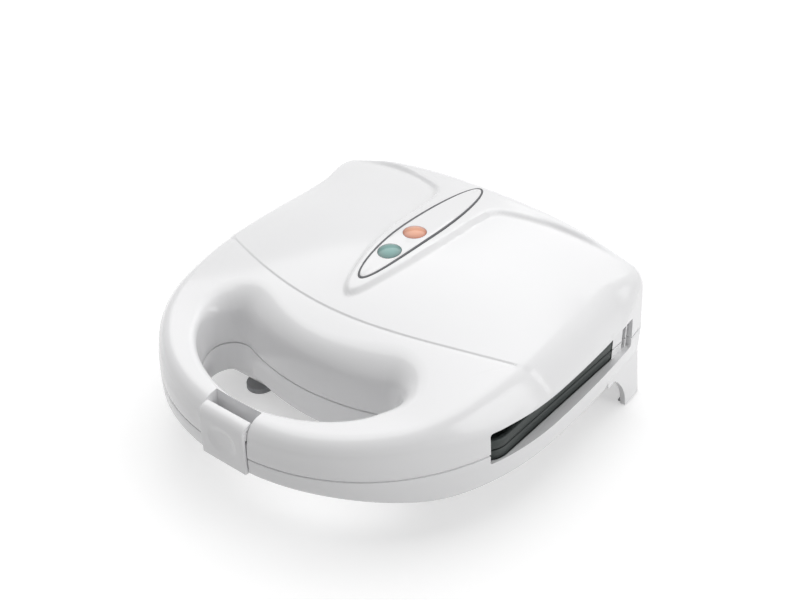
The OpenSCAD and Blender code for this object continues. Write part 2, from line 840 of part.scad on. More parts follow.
module cord_clamp() {
    color("white") translate([inlet_x, clamp_y, clamp_z]) difference() {
        union() {
            rounded_plate(clamp_w + 7, clamp_l, 2, 2.4);
            translate([0, 0, 1.6]) rotate([90, 0, 0])
                cylinder(r = cord_r + 1.6, h = clamp_l, center = true);
        }
        translate([0, 0, 1.6]) rotate([90, 0, 0])
            cylinder(r = cord_r, h = clamp_l + 2, center = true);
        translate([-10, -10, -20]) cube(20);
        for (side = [-1, 1]) translate([side * clamp_w / 2, 0, -1])
            cylinder(r = 1.7, h = 5);
    }
}

module cord_clamp_screws() {
    color("silver") for (side = [-1, 1])
        translate([inlet_x + side * clamp_w / 2, clamp_y, clamp_z]) {
            cylinder(r = 1.4, h = 3);
            translate([0, 0, 2.4]) cylinder(r = 2.8, h = 1.8);
        }
}

module terminal_block() {
    color("ivory") translate([block_x, clamp_y, clamp_z]) difference() {
        translate([-block_w / 2, -block_l / 2, 0]) cube([block_w, block_l, block_h]);
        for (i = [-1:1]) translate([i * pole_pitch, 0, block_h - 3]) {
            cylinder(r = 2, h = 5);
            rotate([90, 0, 0]) cylinder(r = 1.5, h = block_l + 4, center = true);
        }
    }
}

// Earth tag, folded up from the reflector's rear edge.
module earth_tag() {
    z = base_plate_z + reflector_z - reflector_t;
    color("goldenrod") translate([0, plate_y + reflector_l / 2, z]) {
        translate([-3, 0, 0]) cube([6, 0.8, 7]);
        translate([-3, 0, 6.2]) cube([6, 6, 0.8]);
    }
}

fuse_r = 2.2;
fuse_l = 14;
module thermal_fuse() {
    color("silver") in_lid()
        translate([30, 10, reflector_z - reflector_t - fuse_r - seat_gap])
            rotate([0, 90, 0]) {
                cylinder(r = fuse_r, h = fuse_l, center = true);
                cylinder(r = 0.6, h = fuse_l + 12, center = true);
            }
}

// ---- Hinge

module knuckle_ring(x, w, bore) {
    translate([x, 0, 0]) rotate([0, 90, 0]) difference() {
        cylinder(r = knuckle_r, h = w, center = true);
        cylinder(r = bore, h = w + 2, center = true);
    }
}

// Arm from a knuckle to a foot that lies on the inside of the rear wall.
// side is 1 for the lid, -1 for the base.
hinge_plate_back = back_y - wall - draft - 0.1 - hinge_y;
hinge_plate_t = 2.6;
module hinge_arm(x, w, side, tall) {
    translate([x, 0, 0]) along_x(w) difference() {
        polygon([
            [hinge_plate_back - hinge_plate_t - 2, 0], [hinge_plate_back - 0.6, 0],
            [hinge_plate_back, side * 3], [hinge_plate_back, side * tall],
            [hinge_plate_back - hinge_plate_t, side * tall],
            [hinge_plate_back - hinge_plate_t, side * 8]
        ]);
        circle(r = pin_r + 1);
    }
}

hinge_tall_down = seam_z - skirt_z - base_edge_r - wall;
hinge_tall_up = 26;
lid_plate_from = knuckle_r + 7;
module base_hinge_brackets() {
    tall = hinge_tall_down;
    color("silver") both_sides() translate([hinge_x, hinge_y, hinge_z]) {
        for (s = [-1, 1]) {
            knuckle_ring(s * base_knuckle_x, base_knuckle_w, pin_r + 0.02);
            hinge_arm(s * base_knuckle_x, base_knuckle_w, -1, tall);
        }
        translate([-hinge_w / 2, hinge_plate_back - hinge_plate_t, -tall])
            cube([hinge_w, hinge_plate_t, tall - knuckle_r - 2]);
    }
}

module lid_hinge_arms() {
    tall = hinge_tall_up;
    color("silver") both_sides() translate([hinge_x, hinge_y, hinge_z]) {
        knuckle_ring(0, knuckle_w, pin_r + run_gap);
        hinge_arm(0, knuckle_w, 1, tall);
        translate([-hinge_w / 2, hinge_plate_back - hinge_plate_t, lid_plate_from])
            cube([hinge_w, hinge_plate_t, tall - lid_plate_from]);
    }
}

module hinge_pins() {
    color("silver") both_sides() translate([hinge_x, hinge_y, hinge_z])
        rotate([0, 90, 0])
            cylinder(r = pin_r, h = knuckle_w + 2 * (knuckle_gap + base_knuckle_w),
                     center = true);
}

// ---- Indicator panel and lamps

panel_t = 3;
panel_top_z = spine_top_z + panel_proud;
function panel_z(y) = spine_z(y) + panel_proud;

// Everything below the arch that lies at a depth under the panel's top.
module under_arch(depth) {
    translate([0, arch_y, panel_top_z - arch_r]) rotate([0, 90, 0])
        cylinder(r = arch_r - depth, h = 2 * panel_w, center = true, $fn = 720);
}

module oval_prism(w, l, h) {
    linear_extrude(h)
        polygon([for (t = [0:7.5:359]) [w / 2 * cos(t), l / 2 * sin(t)]]);
}

module indicator_panel() {
    color("whitesmoke") difference() {
        intersection() {
            translate([0, panel_y, panel_top_z - panel_depth])
                oval_prism(panel_w, panel_l, panel_depth);
            under_arch(0);
        }
        intersection() {
            translate([0, panel_y, panel_top_z - panel_depth - panel_t])
                oval_prism(panel_w - 4, panel_l - 12, panel_depth);
            under_arch(panel_t);
        }
        for (y = [ready_y, ready_y + lamp_pitch])
            translate([0, y, panel_top_z - panel_t - 1])
                cylinder(d = lamp_d + 2 * seat_gap, h = 20);
    }
}

module lamp_lens() {
    dome_r = (pow(lamp_d / 2, 2) + pow(lamp_dome, 2)) / (2 * lamp_dome);
    intersection() {
        translate([0, 0, -panel_t]) cylinder(d = lamp_d, h = panel_t + lamp_dome);
        translate([0, 0, lamp_dome - dome_r]) sphere(r = dome_r, $fn = 120);
    }
}

module ready_lens() {
    color([0.3, 0.56, 0.54]) translate([0, ready_y, panel_z(ready_y)]) lamp_lens();
}

module power_lens() {
    y = ready_y + lamp_pitch;
    color([0.88, 0.52, 0.3]) translate([0, y, panel_z(y)]) lamp_lens();
}

// Bar that clips under the panel and carries both lamps.
holder_t = 2;
module lamp_holder() {
    color("ivory") difference() {
        intersection() {
            translate([0, panel_y, panel_top_z - panel_depth])
                oval_prism(panel_w - 4 - 2 * seat_gap, panel_l - 12, holder_t);
            translate([-panel_w, ready_y - 6, panel_top_z - panel_depth - 1])
                cube([2 * panel_w, lamp_pitch + 12, holder_t + 2]);
        }
        for (y = [ready_y, ready_y + lamp_pitch])
            translate([0, y, panel_top_z - 20]) cylinder(d = neon_d, h = 20);
    }
}

neon_d = 4;
module neon_lamps() {
    color("orange") for (y = [ready_y, ready_y + lamp_pitch])
        translate([0, y, panel_top_z - panel_depth - 1]) {
            cylinder(d = neon_d, h = panel_depth - panel_t - neon_d / 2);
            translate([0, 0, panel_depth - panel_t - neon_d / 2]) sphere(d = neon_d);
        }
}

thermostat_x = -30;
module thermostat() {
    color("ivory") in_lid()
        translate([thermostat_x, 0, reflector_z - reflector_t - 9.4]) {
            cylinder(r = 8.5, h = 8);
            for (s = [-1, 1]) translate([s * 5 - 0.4, -3, -5]) cube([0.8, 6, 5]);
        }
}

module thermostat_bracket() {
    color("silver") in_lid()
        translate([thermostat_x, 0, reflector_z - reflector_t - 1.4]) difference() {
            union() {
                rounded_plate(34, 12, 3, 1.4);
                cylinder(r = 10, h = 1.4);
            }
            for (s = [-1, 1]) translate([s * 13.5, 0, -1]) cylinder(r = 1.6, h = 4);
        }
}

// ---- Latch

module latch_pin() {
    color("silver") translate([0, latch_pin_y, latch_pin_z]) rotate([0, 90, 0])
        cylinder(r = latch_pin_r, h = latch_w + 9, center = true);
}

module latch() {
    round_r = 4;
    thumb_r = 18.6;
    thumb_d = 1.2;
    color("white") difference() {
        along_x(latch_w) difference() {
            union() {
                // Front skin, its rounded top, and the nib at the bottom.
                translate([latch_front, latch_low_z])
                    square([latch_t, latch_top_z - round_r - latch_low_z]);
                translate([latch_front + round_r, latch_top_z - round_r])
                    circle(round_r);
                translate([latch_front + round_r, latch_top_z - latch_t])
                    square([3, latch_t]);
                translate([latch_front, latch_low_z + 0.6])
                    square([latch_t + nib, nib_h - 0.4]);
                // Barrel round the pin, and the web that joins it to the skin.
                translate([latch_pin_y, latch_pin_z]) circle(latch_pin_r + 2.2);
                translate([latch_front + 1, latch_pin_z - 2])
                    square([latch_pin_y - latch_front - 1, 4]);
            }
            translate([latch_pin_y, latch_pin_z]) circle(latch_pin_r + run_gap);
        }
        // Hollow for the thumb.
        translate([0, latch_front + thumb_d - thumb_r, seam_z + 7]) rotate([0, 90, 0])
            sphere(r = thumb_r, $fn = 80);
    }
}

base_housing();
base_grill_plate();
base_heating_element();
base_reflector();
base_element_terminals();
base_plate_screws();
front_feet();
rear_leg_pads();
inlet_bush();
cord_clamp();
cord_clamp_screws();
terminal_block();
earth_tag();
base_hinge_brackets();
hinge_pins();
lid_housing();
lid_grill_plate();
lid_heating_element();
lid_reflector();
lid_element_terminals();
lid_plate_screws();
lid_hinge_arms();
thermal_fuse();
indicator_panel();
ready_lens();
power_lens();
lamp_holder();
neon_lamps();
thermostat();
thermostat_bracket();
latch_pin();
latch();
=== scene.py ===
# %% [markdown]
# # A sandwich toaster, dressed from its CAD frame
# The toaster is two white mouldings that close like a clam on a pair of dark
# cast plates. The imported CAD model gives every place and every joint. This
# lesson makes the surfaces that the eye reads: two fine housings, the coated
# plates, the latch, the lamp panel and their finishes. Lengths in the maths
# are millimetres, as on a drawing, and each mesh is scaled to metres once.

# %% Load the frame
import json
import math

import bmesh
import bpy
import numpy as np
from mathutils import Matrix, Vector
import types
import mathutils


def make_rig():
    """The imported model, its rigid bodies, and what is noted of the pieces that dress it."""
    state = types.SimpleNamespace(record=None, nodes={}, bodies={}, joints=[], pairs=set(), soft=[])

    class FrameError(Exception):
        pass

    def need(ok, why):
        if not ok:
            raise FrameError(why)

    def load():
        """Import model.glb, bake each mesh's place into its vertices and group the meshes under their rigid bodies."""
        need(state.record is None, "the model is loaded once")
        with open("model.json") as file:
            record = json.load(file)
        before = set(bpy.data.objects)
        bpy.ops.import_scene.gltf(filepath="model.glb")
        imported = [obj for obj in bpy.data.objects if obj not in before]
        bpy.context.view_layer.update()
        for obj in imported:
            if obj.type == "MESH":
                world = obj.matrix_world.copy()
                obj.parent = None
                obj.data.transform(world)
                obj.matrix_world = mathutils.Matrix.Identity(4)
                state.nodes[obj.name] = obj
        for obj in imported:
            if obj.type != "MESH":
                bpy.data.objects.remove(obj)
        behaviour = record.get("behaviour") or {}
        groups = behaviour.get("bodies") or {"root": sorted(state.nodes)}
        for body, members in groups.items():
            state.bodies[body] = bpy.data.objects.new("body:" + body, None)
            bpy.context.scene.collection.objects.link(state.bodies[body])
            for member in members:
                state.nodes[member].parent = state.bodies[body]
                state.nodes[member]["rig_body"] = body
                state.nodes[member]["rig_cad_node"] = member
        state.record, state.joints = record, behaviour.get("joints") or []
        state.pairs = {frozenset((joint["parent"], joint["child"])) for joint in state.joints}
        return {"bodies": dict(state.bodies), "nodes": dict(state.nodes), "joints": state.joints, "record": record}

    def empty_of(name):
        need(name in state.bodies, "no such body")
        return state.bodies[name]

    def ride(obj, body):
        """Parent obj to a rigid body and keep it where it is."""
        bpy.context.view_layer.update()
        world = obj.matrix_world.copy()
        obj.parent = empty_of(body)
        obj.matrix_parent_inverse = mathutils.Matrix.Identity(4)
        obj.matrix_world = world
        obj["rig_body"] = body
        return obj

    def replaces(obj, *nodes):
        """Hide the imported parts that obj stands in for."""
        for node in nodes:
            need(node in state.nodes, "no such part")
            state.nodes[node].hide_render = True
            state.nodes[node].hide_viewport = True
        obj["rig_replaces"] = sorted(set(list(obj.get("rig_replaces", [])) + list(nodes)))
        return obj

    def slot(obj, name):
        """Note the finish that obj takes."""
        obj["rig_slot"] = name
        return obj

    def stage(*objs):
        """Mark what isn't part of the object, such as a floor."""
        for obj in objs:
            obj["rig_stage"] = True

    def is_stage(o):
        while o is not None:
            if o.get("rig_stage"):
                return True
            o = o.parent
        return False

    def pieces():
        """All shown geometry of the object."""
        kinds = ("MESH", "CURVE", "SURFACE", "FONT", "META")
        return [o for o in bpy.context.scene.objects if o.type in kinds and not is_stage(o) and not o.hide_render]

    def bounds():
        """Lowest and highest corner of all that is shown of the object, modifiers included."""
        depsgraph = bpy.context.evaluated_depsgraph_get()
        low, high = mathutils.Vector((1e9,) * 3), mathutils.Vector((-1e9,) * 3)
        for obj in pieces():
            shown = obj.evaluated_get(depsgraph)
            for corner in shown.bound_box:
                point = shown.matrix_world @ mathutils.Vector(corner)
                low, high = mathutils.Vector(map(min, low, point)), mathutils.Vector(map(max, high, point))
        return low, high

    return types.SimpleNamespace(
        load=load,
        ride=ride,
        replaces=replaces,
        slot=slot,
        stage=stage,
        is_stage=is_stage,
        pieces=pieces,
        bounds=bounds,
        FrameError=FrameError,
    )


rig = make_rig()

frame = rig.load()
cad_box = [list(corner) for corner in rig.bounds()]
nodes = frame["nodes"]
scene = bpy.context.scene
MM = 0.001
print("bodies:", sorted(frame["bodies"]), "- nodes:", len(nodes))

# %% [markdown]
# ## The camera
# The camera was found by matching the seam, the handle hole, the slot, the
# crease, the lamp panel and the outline to their places in the photograph. A
# matrix built from three unit vectors keeps its small roll exactly, which a
# track-to constraint would lose.

# %% Place the camera
def camera_at(eye, target, roll_deg, focal_px, width_px):
    back = (Vector(eye) - Vector(target)).normalized()
    side = Vector((0, 0, 1)).cross(back).normalized()
    roll = Matrix.Rotation(math.radians(roll_deg), 3, back)
    side = roll @ side
    up = back.cross(side)
    data = bpy.data.cameras.new("camera")
    data.sensor_width = SENSOR_MM
    data.lens = focal_px * data.sensor_width / width_px
    camera = bpy.data.objects.new("camera", data)
    scene.collection.objects.link(camera)
    turn = Matrix((side, up, back)).transposed().to_4x4()
    camera.matrix_world = Matrix.Translation(Vector(eye) * MM) @ turn
    return camera


SENSOR_MM = 36
scene.camera = camera_at(eye=(372.58, -420.85, 453.79), target=(56.16, -39.75, 115.21),
                         roll_deg=-1.1138, focal_px=1283.77, width_px=800)
scene.view_settings.view_transform = "Standard"
print("lens", round(scene.camera.data.lens, 2), "mm")

# %% [markdown]
# ## The outlines
# Seen from above, the body is a rounded nose, two sides that draw in and two
# rear corners. The handle hole is a second closed curve inside it. Every
# point of one curve has a partner on the other, so the whole moulding can be
# a loft of cross-sections that fan out from the hole to the outer wall.

# %% Outer outline and handle hole, right half
HALF_W, WIDE_Y, BACK_Y = 113.97, 17.0, 110.0
NOSE_Y, CORNER_R, DRAW_IN = -109.1, 9.5, 6.0
HOLE_X, HOLE_R, HOLE_Y, HOLE_L, HOLE_TURN = 62.5, 12.0, -54.1, 39.0, 110.0
NOSE_POWER, HOLE_POWER, NOSE_TURN = 2.18, 1.8, 61


def side_x(y):
    return HALF_W - DRAW_IN * ((y - WIDE_Y) / (BACK_Y - WIDE_Y)) ** 2


CORNER_Y = BACK_Y - CORNER_R
CORNER_X = side_x(CORNER_Y) - CORNER_R


def nose(turn):
    t = np.radians(turn)
    power = 2 / NOSE_POWER
    return np.stack([HALF_W * np.sin(t) ** power,
                     WIDE_Y - (WIDE_Y - NOSE_Y) * np.cos(t) ** power], -1)


def hole_front(turn):
    t = np.radians(turn)
    power = 2 / HOLE_POWER
    return np.stack([HOLE_X * np.sin(t) ** power,
                     HOLE_Y - HOLE_L * np.cos(t) ** power], -1)


def hole_end(turn):
    t = np.radians(turn)
    return np.stack([HOLE_X - HOLE_R + HOLE_R * np.cos(t),
                     HOLE_Y + HOLE_R * np.sin(t)], -1)


hole_back_x, hole_back_y = hole_end(np.array([HOLE_TURN]))[0]
hole_sag = math.tan(math.radians(HOLE_TURN - 90)) / (2 * hole_back_x)


def hole_back(share):
    x = hole_back_x * (1 - share)
    return np.stack([x, hole_back_y - hole_sag * (hole_back_x ** 2 - x ** 2)], -1)


def right_half(fine):
    """Matching points of the outline and the hole, from the nose to the back."""
    u = np.linspace(0, 1, 5 * fine, endpoint=False)
    y = WIDE_Y + (CORNER_Y - WIDE_Y) * u
    v = np.linspace(0, 1, 2 * fine, endpoint=False)
    t = np.pi / 2 * v
    w = 1 - np.linspace(1, 0, 7 * fine + 1) ** 1.7
    outer = [nose(NOSE_TURN * u), nose(NOSE_TURN + (90 - NOSE_TURN) * u),
             np.stack([side_x(y), y], -1),
             np.stack([CORNER_X + CORNER_R * np.cos(t),
                       CORNER_Y + CORNER_R * np.sin(t)], -1),
             np.stack([CORNER_X * (1 - w), np.full(len(w), BACK_Y)], -1)]
    inner = [hole_front(90 * np.maximum(u, 1e-9)), hole_end(HOLE_TURN * u / 3),
             hole_end(HOLE_TURN * (1 + 2 * u) / 3), hole_back(v * 4 / 9),
             hole_back((4 + 5 * w) / 9)]
    return np.concatenate(outer), np.concatenate(inner)


def mirrored(right):
    return np.concatenate([right, right[-2:0:-1] * [-1, 1]])


def outward(ring):
    step = np.roll(ring, -1, 0) - np.roll(ring, 1, 0)
    normal = np.stack([step[:, 1], -step[:, 0]], -1)
    return normal / np.linalg.norm(normal, axis=1, keepdims=True)


outline, hole = [mirrored(half) for half in right_half(8)]
outline_out, hole_out = outward(outline), outward(hole)
print("sections round the body:", len(outline))

# %% [markdown]
# ## The top surface
# The lid's height is one function of place. A shallow crown falls to the side
# edges. A flat-topped spine and a band along the back stand above it as a T,
# and a curved crease crosses the lid where the shoulder over the handle
# begins. One formula keeps all of them smooth where they meet.

# %% Height of the lid and of the base
EDGE_TOP, EDGE_FALL, EDGE_LIFT, EDGE_Y = 71.1, 9.6, 3.8, 60
SPINE_TOP, SPINE_ARCH, SPINE_RISE, FLAT_Y = 91.8, 0.0021, 2.7, 45
CREASE_Y, CREASE_SWEEP, CREASE_X, CREASE_DEEP = -25.4, 30.5, 107.6, 0.7
SKIRT_FRONT, SKIRT_SIDE, BELLY_DEEP = 30.6, 22.3, 11
FLANK, CROWN_POWER, BAND_RISE, BAND_DROOP = 3.4, 2.2, 3.1, 5


def smooth(t):
    t = np.clip(t, 0, 1)
    return t * t * (3 - 2 * t)


def mix(a, b, t):
    return a + (b - a) * t


def edge_z(y):
    fall = ((EDGE_Y - y) / (EDGE_Y - NOSE_Y)) ** 2
    return EDGE_TOP - EDGE_FALL * fall + EDGE_LIFT * smooth((y - EDGE_Y) / 45)


def spine_z(y):
    return SPINE_TOP - SPINE_ARCH * np.minimum(y - FLAT_Y, 0) ** 2


def crown_z(y):
    """The crown, or the side edge where that is higher, with a soft change."""
    crown, edge = spine_z(y) - SPINE_RISE, edge_z(y)
    return (crown + edge + np.sqrt((crown - edge) ** 2 + 9)) / 2


def distance_along(line):
    steps = np.linalg.norm(np.diff(line, axis=0), axis=1)
    return np.concatenate([[0], np.cumsum(steps)])


def land_edge():
    """The T's upper edge, right half, from the spine's tip to the band's end."""
    corners = np.array([
        [-4, -13.5], [0, -13.5], [3, -10.5], [5.5, -4], [9, 8], [12.3, 23],
        [14.2, 40], [15, 60], [15.3, 72], [16.2, 84], [21, 91.3], [29.6, 94.8],
        [36, 96.9], [48.3, 100.4], [61.5, 102.8], [80, 105], [120, 107]], float)
    run = distance_along(corners)
    t = np.linspace(0, run[-1], 300)
    line = np.stack([np.interp(t, run, corners[:, i]) for i in (0, 1)], -1)
    for _ in range(30):
        line[1:-1] = (line[:-2] + 2 * line[1:-1] + line[2:]) / 4
    return line


LAND_EDGE = land_edge()
LAND_ALONG = np.gradient(LAND_EDGE, axis=0)
LAND_ALONG /= np.linalg.norm(LAND_ALONG, axis=1, keepdims=True)


def land(x, y):
    """1 on the T, 0 on the two shallow panels beside it."""
    p = np.stack([np.abs(x), y], -1)
    near = np.argmin(np.linalg.norm(p[..., None, :] - LAND_EDGE, axis=-1), axis=-1)
    gap, along = p - LAND_EDGE[near], LAND_ALONG[near]
    inside = along[..., 0] * gap[..., 1] - along[..., 1] * gap[..., 0]
    return smooth((inside + FLANK) / FLANK)


def crease_y(x):
    return CREASE_Y + CREASE_SWEEP * (np.abs(x) / CREASE_X) ** 2


def lid_z(p):
    x, y = p[..., 0], p[..., 1]
    edge = edge_z(y)
    side = np.minimum(1, np.abs(x) / (HALF_W - 4))
    ridge = spine_z(y) + BAND_RISE * (x / 100) ** 2 * smooth((y - 98) / 4)
    ridge = ridge - BAND_DROOP * smooth((np.abs(x) - 62) / 50) * smooth((y - 88) / 20)
    z = edge + (mix(crown_z(y), ridge, land(x, y)) - edge) * (1 - side ** CROWN_POWER)
    ahead = crease_y(x) - y
    step = np.where(ahead > 0, np.exp(-np.maximum(ahead, 0) / 9), 0)
    return z - CREASE_DEEP * step * smooth(ahead / 1.1)


def skirt(y):
    return mix(SKIRT_FRONT, SKIRT_SIDE, smooth((y - NOSE_Y) / 60))


def base_z(p):
    x, y = p[..., 0], p[..., 1]
    from_side = side_x(np.maximum(y, WIDE_Y)) - 10 - np.abs(x)
    belly = (smooth(from_side / 24) * smooth((y - HOLE_Y + HOLE_R - 20) / 14)
             * smooth((BACK_Y - 6 - y) / 24))
    return skirt(y) - BELLY_DEEP * belly


def relief_y(y, rise, skin):
    """Behind the hinge line the walls lean away, so the lid can swing back."""
    return np.minimum(y, 105.5 + 0.7 * rise - skin)


print("lid height at the middle:", float(lid_z(np.array([0.0, FLAT_Y]))),
      "- crease:", round(float(lid_z(np.array([0.0, CREASE_Y]))), 1))

# %% [markdown]
# ## From rows of points to a moulding
# A loft needs only rows: each row is one closed ring of points, and two rows
# make a band of quads. The shell has an outer loft and an inner one turned
# inside out, so it is hollow as the real moulding is.

# %% Mesh helpers
def make_object(name, verts, faces, material=None, mm=True):
    mesh = bpy.data.meshes.new(name)
    metres = np.asarray(verts, float) * (MM if mm else 1)
    mesh.from_pydata(metres.tolist(), [], faces)
    mesh.validate()
    obj = bpy.data.objects.new(name, mesh)
    scene.collection.objects.link(obj)
    if material:
        mesh.materials.append(material)
    return obj


def ring_faces(rows, around, start=0):
    """Quads over a tube of rings whose last ring joins the first again."""
    faces = []
    for j in range(rows):
        k = (j + 1) % rows
        for i in range(around):
            n = (i + 1) % around
            faces.append([start + j * around + i, start + j * around + n,
                          start + k * around + n, start + k * around + i])
    return faces


def at(points, z):
    return np.column_stack([points, np.broadcast_to(z, len(points))])


def smooth_but_sharp(obj, degrees=32):
    """Smooth shading, with edges steeper than the angle kept crisp."""
    bm = bmesh.new()
    bm.from_mesh(obj.data)
    bmesh.ops.remove_doubles(bm, verts=bm.verts, dist=1e-7)
    for face in bm.faces:
        face.smooth = True
    for edge in bm.edges:
        flat = edge.calc_face_angle(0) < math.radians(degrees)
        edge.smooth = len(edge.link_faces) != 2 or flat
    bm.to_mesh(obj.data)
    bm.free()
    return obj


def outward_faces(obj):
    bm = bmesh.new()
    bm.from_mesh(obj.data)
    bmesh.ops.recalc_face_normals(bm, faces=bm.faces)
    bm.to_mesh(obj.data)
    bm.free()
    return obj


print("helpers ready")

# %% [markdown]
# ## Cutting tools
# Where two surfaces meet at a crisp edge, it is easier to cut one solid with
# another than to loft the edge. Each tool is a prism on a flat outline, either
# upright or along X, and the Boolean modifier does the cutting.

# %% Prisms and the Boolean cut
def prism(name, points, z0, z1):
    """A closed upright prism on a polygon in the plan."""
    n = len(points)
    verts = np.concatenate([at(points, z0), at(points, z1)])
    faces = [list(range(n))[::-1], list(range(n, 2 * n))]
    faces += [[i, (i + 1) % n, n + (i + 1) % n, n + i] for i in range(n)]
    return outward_faces(make_object(name, verts, faces))


def rounded_rect(w, l, r, cx=0, cy=0, arc=8):
    points = []
    for q, (sx, sy) in enumerate([(1, 1), (-1, 1), (-1, -1), (1, -1)]):
        for t in np.radians(np.linspace(90 * q, 90 * q + 90, arc + 1)):
            points.append([cx + sx * (w / 2 - r) + r * math.cos(t),
                           cy + sy * (l / 2 - r) + r * math.sin(t)])
    return np.array(points)


def side_prism(name, points_yz, x0, x1):
    """A closed prism along X on a polygon in the Y-Z plane."""
    p = np.asarray(points_yz, float)
    n = len(p)
    ends = [np.column_stack([np.full(n, x), p]) for x in (x0, x1)]
    verts = np.concatenate(ends)
    faces = [list(range(n)), list(range(n, 2 * n))[::-1]]
    faces += [[i, (i + 1) % n, n + (i + 1) % n, n + i] for i in range(n)]
    return outward_faces(make_object(name, verts, faces))


def cut(obj, tools):
    for tool in tools:
        modifier = obj.modifiers.new("cut", "BOOLEAN")
        modifier.object, modifier.operation = tool, "DIFFERENCE"
        modifier.solver = "EXACT"
    result = bpy.data.meshes.new_from_object(
        obj.evaluated_get(bpy.context.evaluated_depsgraph_get()))
    obj.modifiers.clear()
    obj.data = result
    for tool in tools:
        bpy.data.objects.remove(tool)
    return obj


PANEL_Y, PANEL_L, PANEL_W = 48.8, 106.7, 20.7


def oval(grow, n=120):
    """The lamp panel's outline, grown by a margin all round."""
    t = np.linspace(0, 2 * np.pi, n, endpoint=False)
    return np.stack([(PANEL_W / 2 + grow) * np.cos(t),
                     PANEL_Y + (PANEL_L / 2 + grow) * np.sin(t)], -1)


print("oval panel:", len(oval(0)), "points")

# %% [markdown]
# ## The lid's edge and its rows
# In the photograph the lid's side walls lean in and roll over into the top,
# while the nose and the back turn over a plain radius. So the edge has two
# profiles, one a Bezier curve and one an arc, mixed by the way the wall faces.

# %% Edge profile and the places of the rows
LEAN = np.array([[15.5, 0], [9.5, 0], [5.5, 3.7], [0.5, 14.5]])
DRAFT = 1.2


def edge_profile(t):
    """Inset and drop along the lid's edge, t 0 on the top and 1 on the wall.

    The nose and the back are simply rounded. On the sides the wall leans in,
    and the two profiles blend with the direction that the wall faces."""
    y = outline[:, 1]
    side = np.abs(outline_out[:, 0]) * smooth((y + 75) / 55)
    side = side * (1 - 0.82 * smooth((y - 78) / 22))
    r = mix(8.0, 6.0, smooth((y - 60) / 40))
    turn = math.radians(90 * (1 - t))
    weights = np.array([(1 - t) ** 3, 3 * t * (1 - t) ** 2, 3 * t * t * (1 - t), t ** 3])
    lean_in, lean_down = weights @ LEAN
    inset = mix(DRAFT + r * (1 - math.cos(turn)), lean_in, side)
    return inset[:, None], mix(r * (1 - math.sin(turn)), lean_down, side)


def crowded(starts, ends, count):
    """Shares of each section, closer where it crosses the crease or the band."""
    fine = np.linspace(0, 1, 601)
    shares = []
    for start, end in zip(starts, ends):
        p = start + fine[:, None] * (end - start)
        at_crease = np.exp(-((p[:, 1] - crease_y(p[:, 0])) / 2) ** 2)
        at_band = np.exp(-((p[:, 1] - 97) / 6) ** 2)
        weight = 1 + 7 * at_crease + 1.2 * at_band
        run = np.cumsum(weight)
        run = (run - run[0]) / (run[-1] - run[0])
        shares.append(np.interp(np.linspace(0, 1, count + 2)[1:-1], run, fine))
    return np.array(shares).T[:, :, None]


print("leaning edge:", LEAN.tolist())

# %% The lid's rows
SEAM_Z, SEAM_GAP, SKIN = 42.0, 0.6, 3
LIP, KNEE, VOID_RISE = 0.7, 7.8, 8


def lid_rows(skin, spans, arc, floor_z=None):
    """Rings from the seam at the handle hole, over the top, to the outer seam."""
    a, na, b, nb = hole, hole_out, outline, outline_out
    rim = SEAM_Z + SEAM_GAP / 2
    hole_r = mix(4.0, 14.0, smooth((a[:, 1] - HOLE_Y + 10) / 22))[:, None]
    ri = np.maximum(1, hole_r - skin)
    inset = skin + DRAFT
    rows = []
    for t in np.radians(np.linspace(0, 90, arc + 1)):
        p = a + na * (inset + ri * (1 - math.cos(t)))
        rows.append(at(p, lid_z(p) - skin - ri[:, 0] * (1 - math.sin(t))))
    deep = 1.6 * skin
    ai, bi = a + na * (inset + ri), b - nb * (deep + edge_profile(0)[0])
    for share in crowded(ai, bi, spans):
        p = mix(ai, bi, share)
        rows.append(at(p, lid_z(p) - skin))
    lowest = -99 if floor_z is None else floor_z(b[:, 1]) + 1
    for t in np.linspace(0, 1, 2 * arc + 1):
        edge_in, drop = edge_profile(t)
        p = b - nb * (deep + edge_in)
        rows.append(at(p, np.maximum(lid_z(p) - skin - drop, lowest)))
    if floor_z is not None:
        low_a = np.minimum(floor_z(a[:, 1]), rows[0][:, 2] - 1)
        low_b = np.minimum(floor_z(b[:, 1]), rows[-1][:, 2] - 1)
        q = b - nb * deep
        q[:, 1] = relief_y(q[:, 1], VOID_RISE, skin)
        return [at(a + na * skin, low_a)] + rows + [at(q, low_b)]
    wall_a = [mix(at(a, rim + LIP), rows[0], s) for s in (0, 0.2, 0.45, 0.75)]
    knee = at(b - nb * (DRAFT / 4), rim + KNEE)
    wall_b = [mix(rows[-1], knee, s) for s in (0.3, 0.65, 1)]
    low = np.stack([b[:, 0], relief_y(b[:, 1], SEAM_GAP / 2 + LIP, 0)], -1)
    wall_b += [mix(knee, at(low, rim + LIP), s) for s in (0.35, 0.7, 1)]
    inner, soft = low - nb * LIP, 0.3 * LIP
    under = [at(low - nb * soft, rim + soft), at(inner, rim)]
    under += [at(mix(inner, a + na * LIP, s), rim) for s in (0.33, 0.67, 1)]
    return [at(a + na * soft, rim + soft)] + wall_a + rows + wall_b + under


def shell(name, outer, inner):
    around = len(outline)
    verts = np.concatenate(outer + inner)
    faces = ring_faces(len(outer), around)
    faces += ring_faces(len(inner), around, len(outer) * around)
    obj = make_object(name, verts, faces)
    return outward_faces(obj)


def handle_blend(low, high):
    return lambda y: mix(low, high, smooth((y + 68) / 20))


lid = shell("lid_shell", lid_rows(0, 130, 8),
            lid_rows(SKIN, 10, 2, handle_blend(46, 56.4)))
print("lid shell:", len(lid.data.polygons), "faces")

# %% [markdown]
# ## The base's rows
# The base has the same plan as the lid, so that the two halves meet all round
# the seam. Its underside is simpler: a small edge radius, a skirt that is
# shallow under the handle, and a belly that hangs lower under the plates.

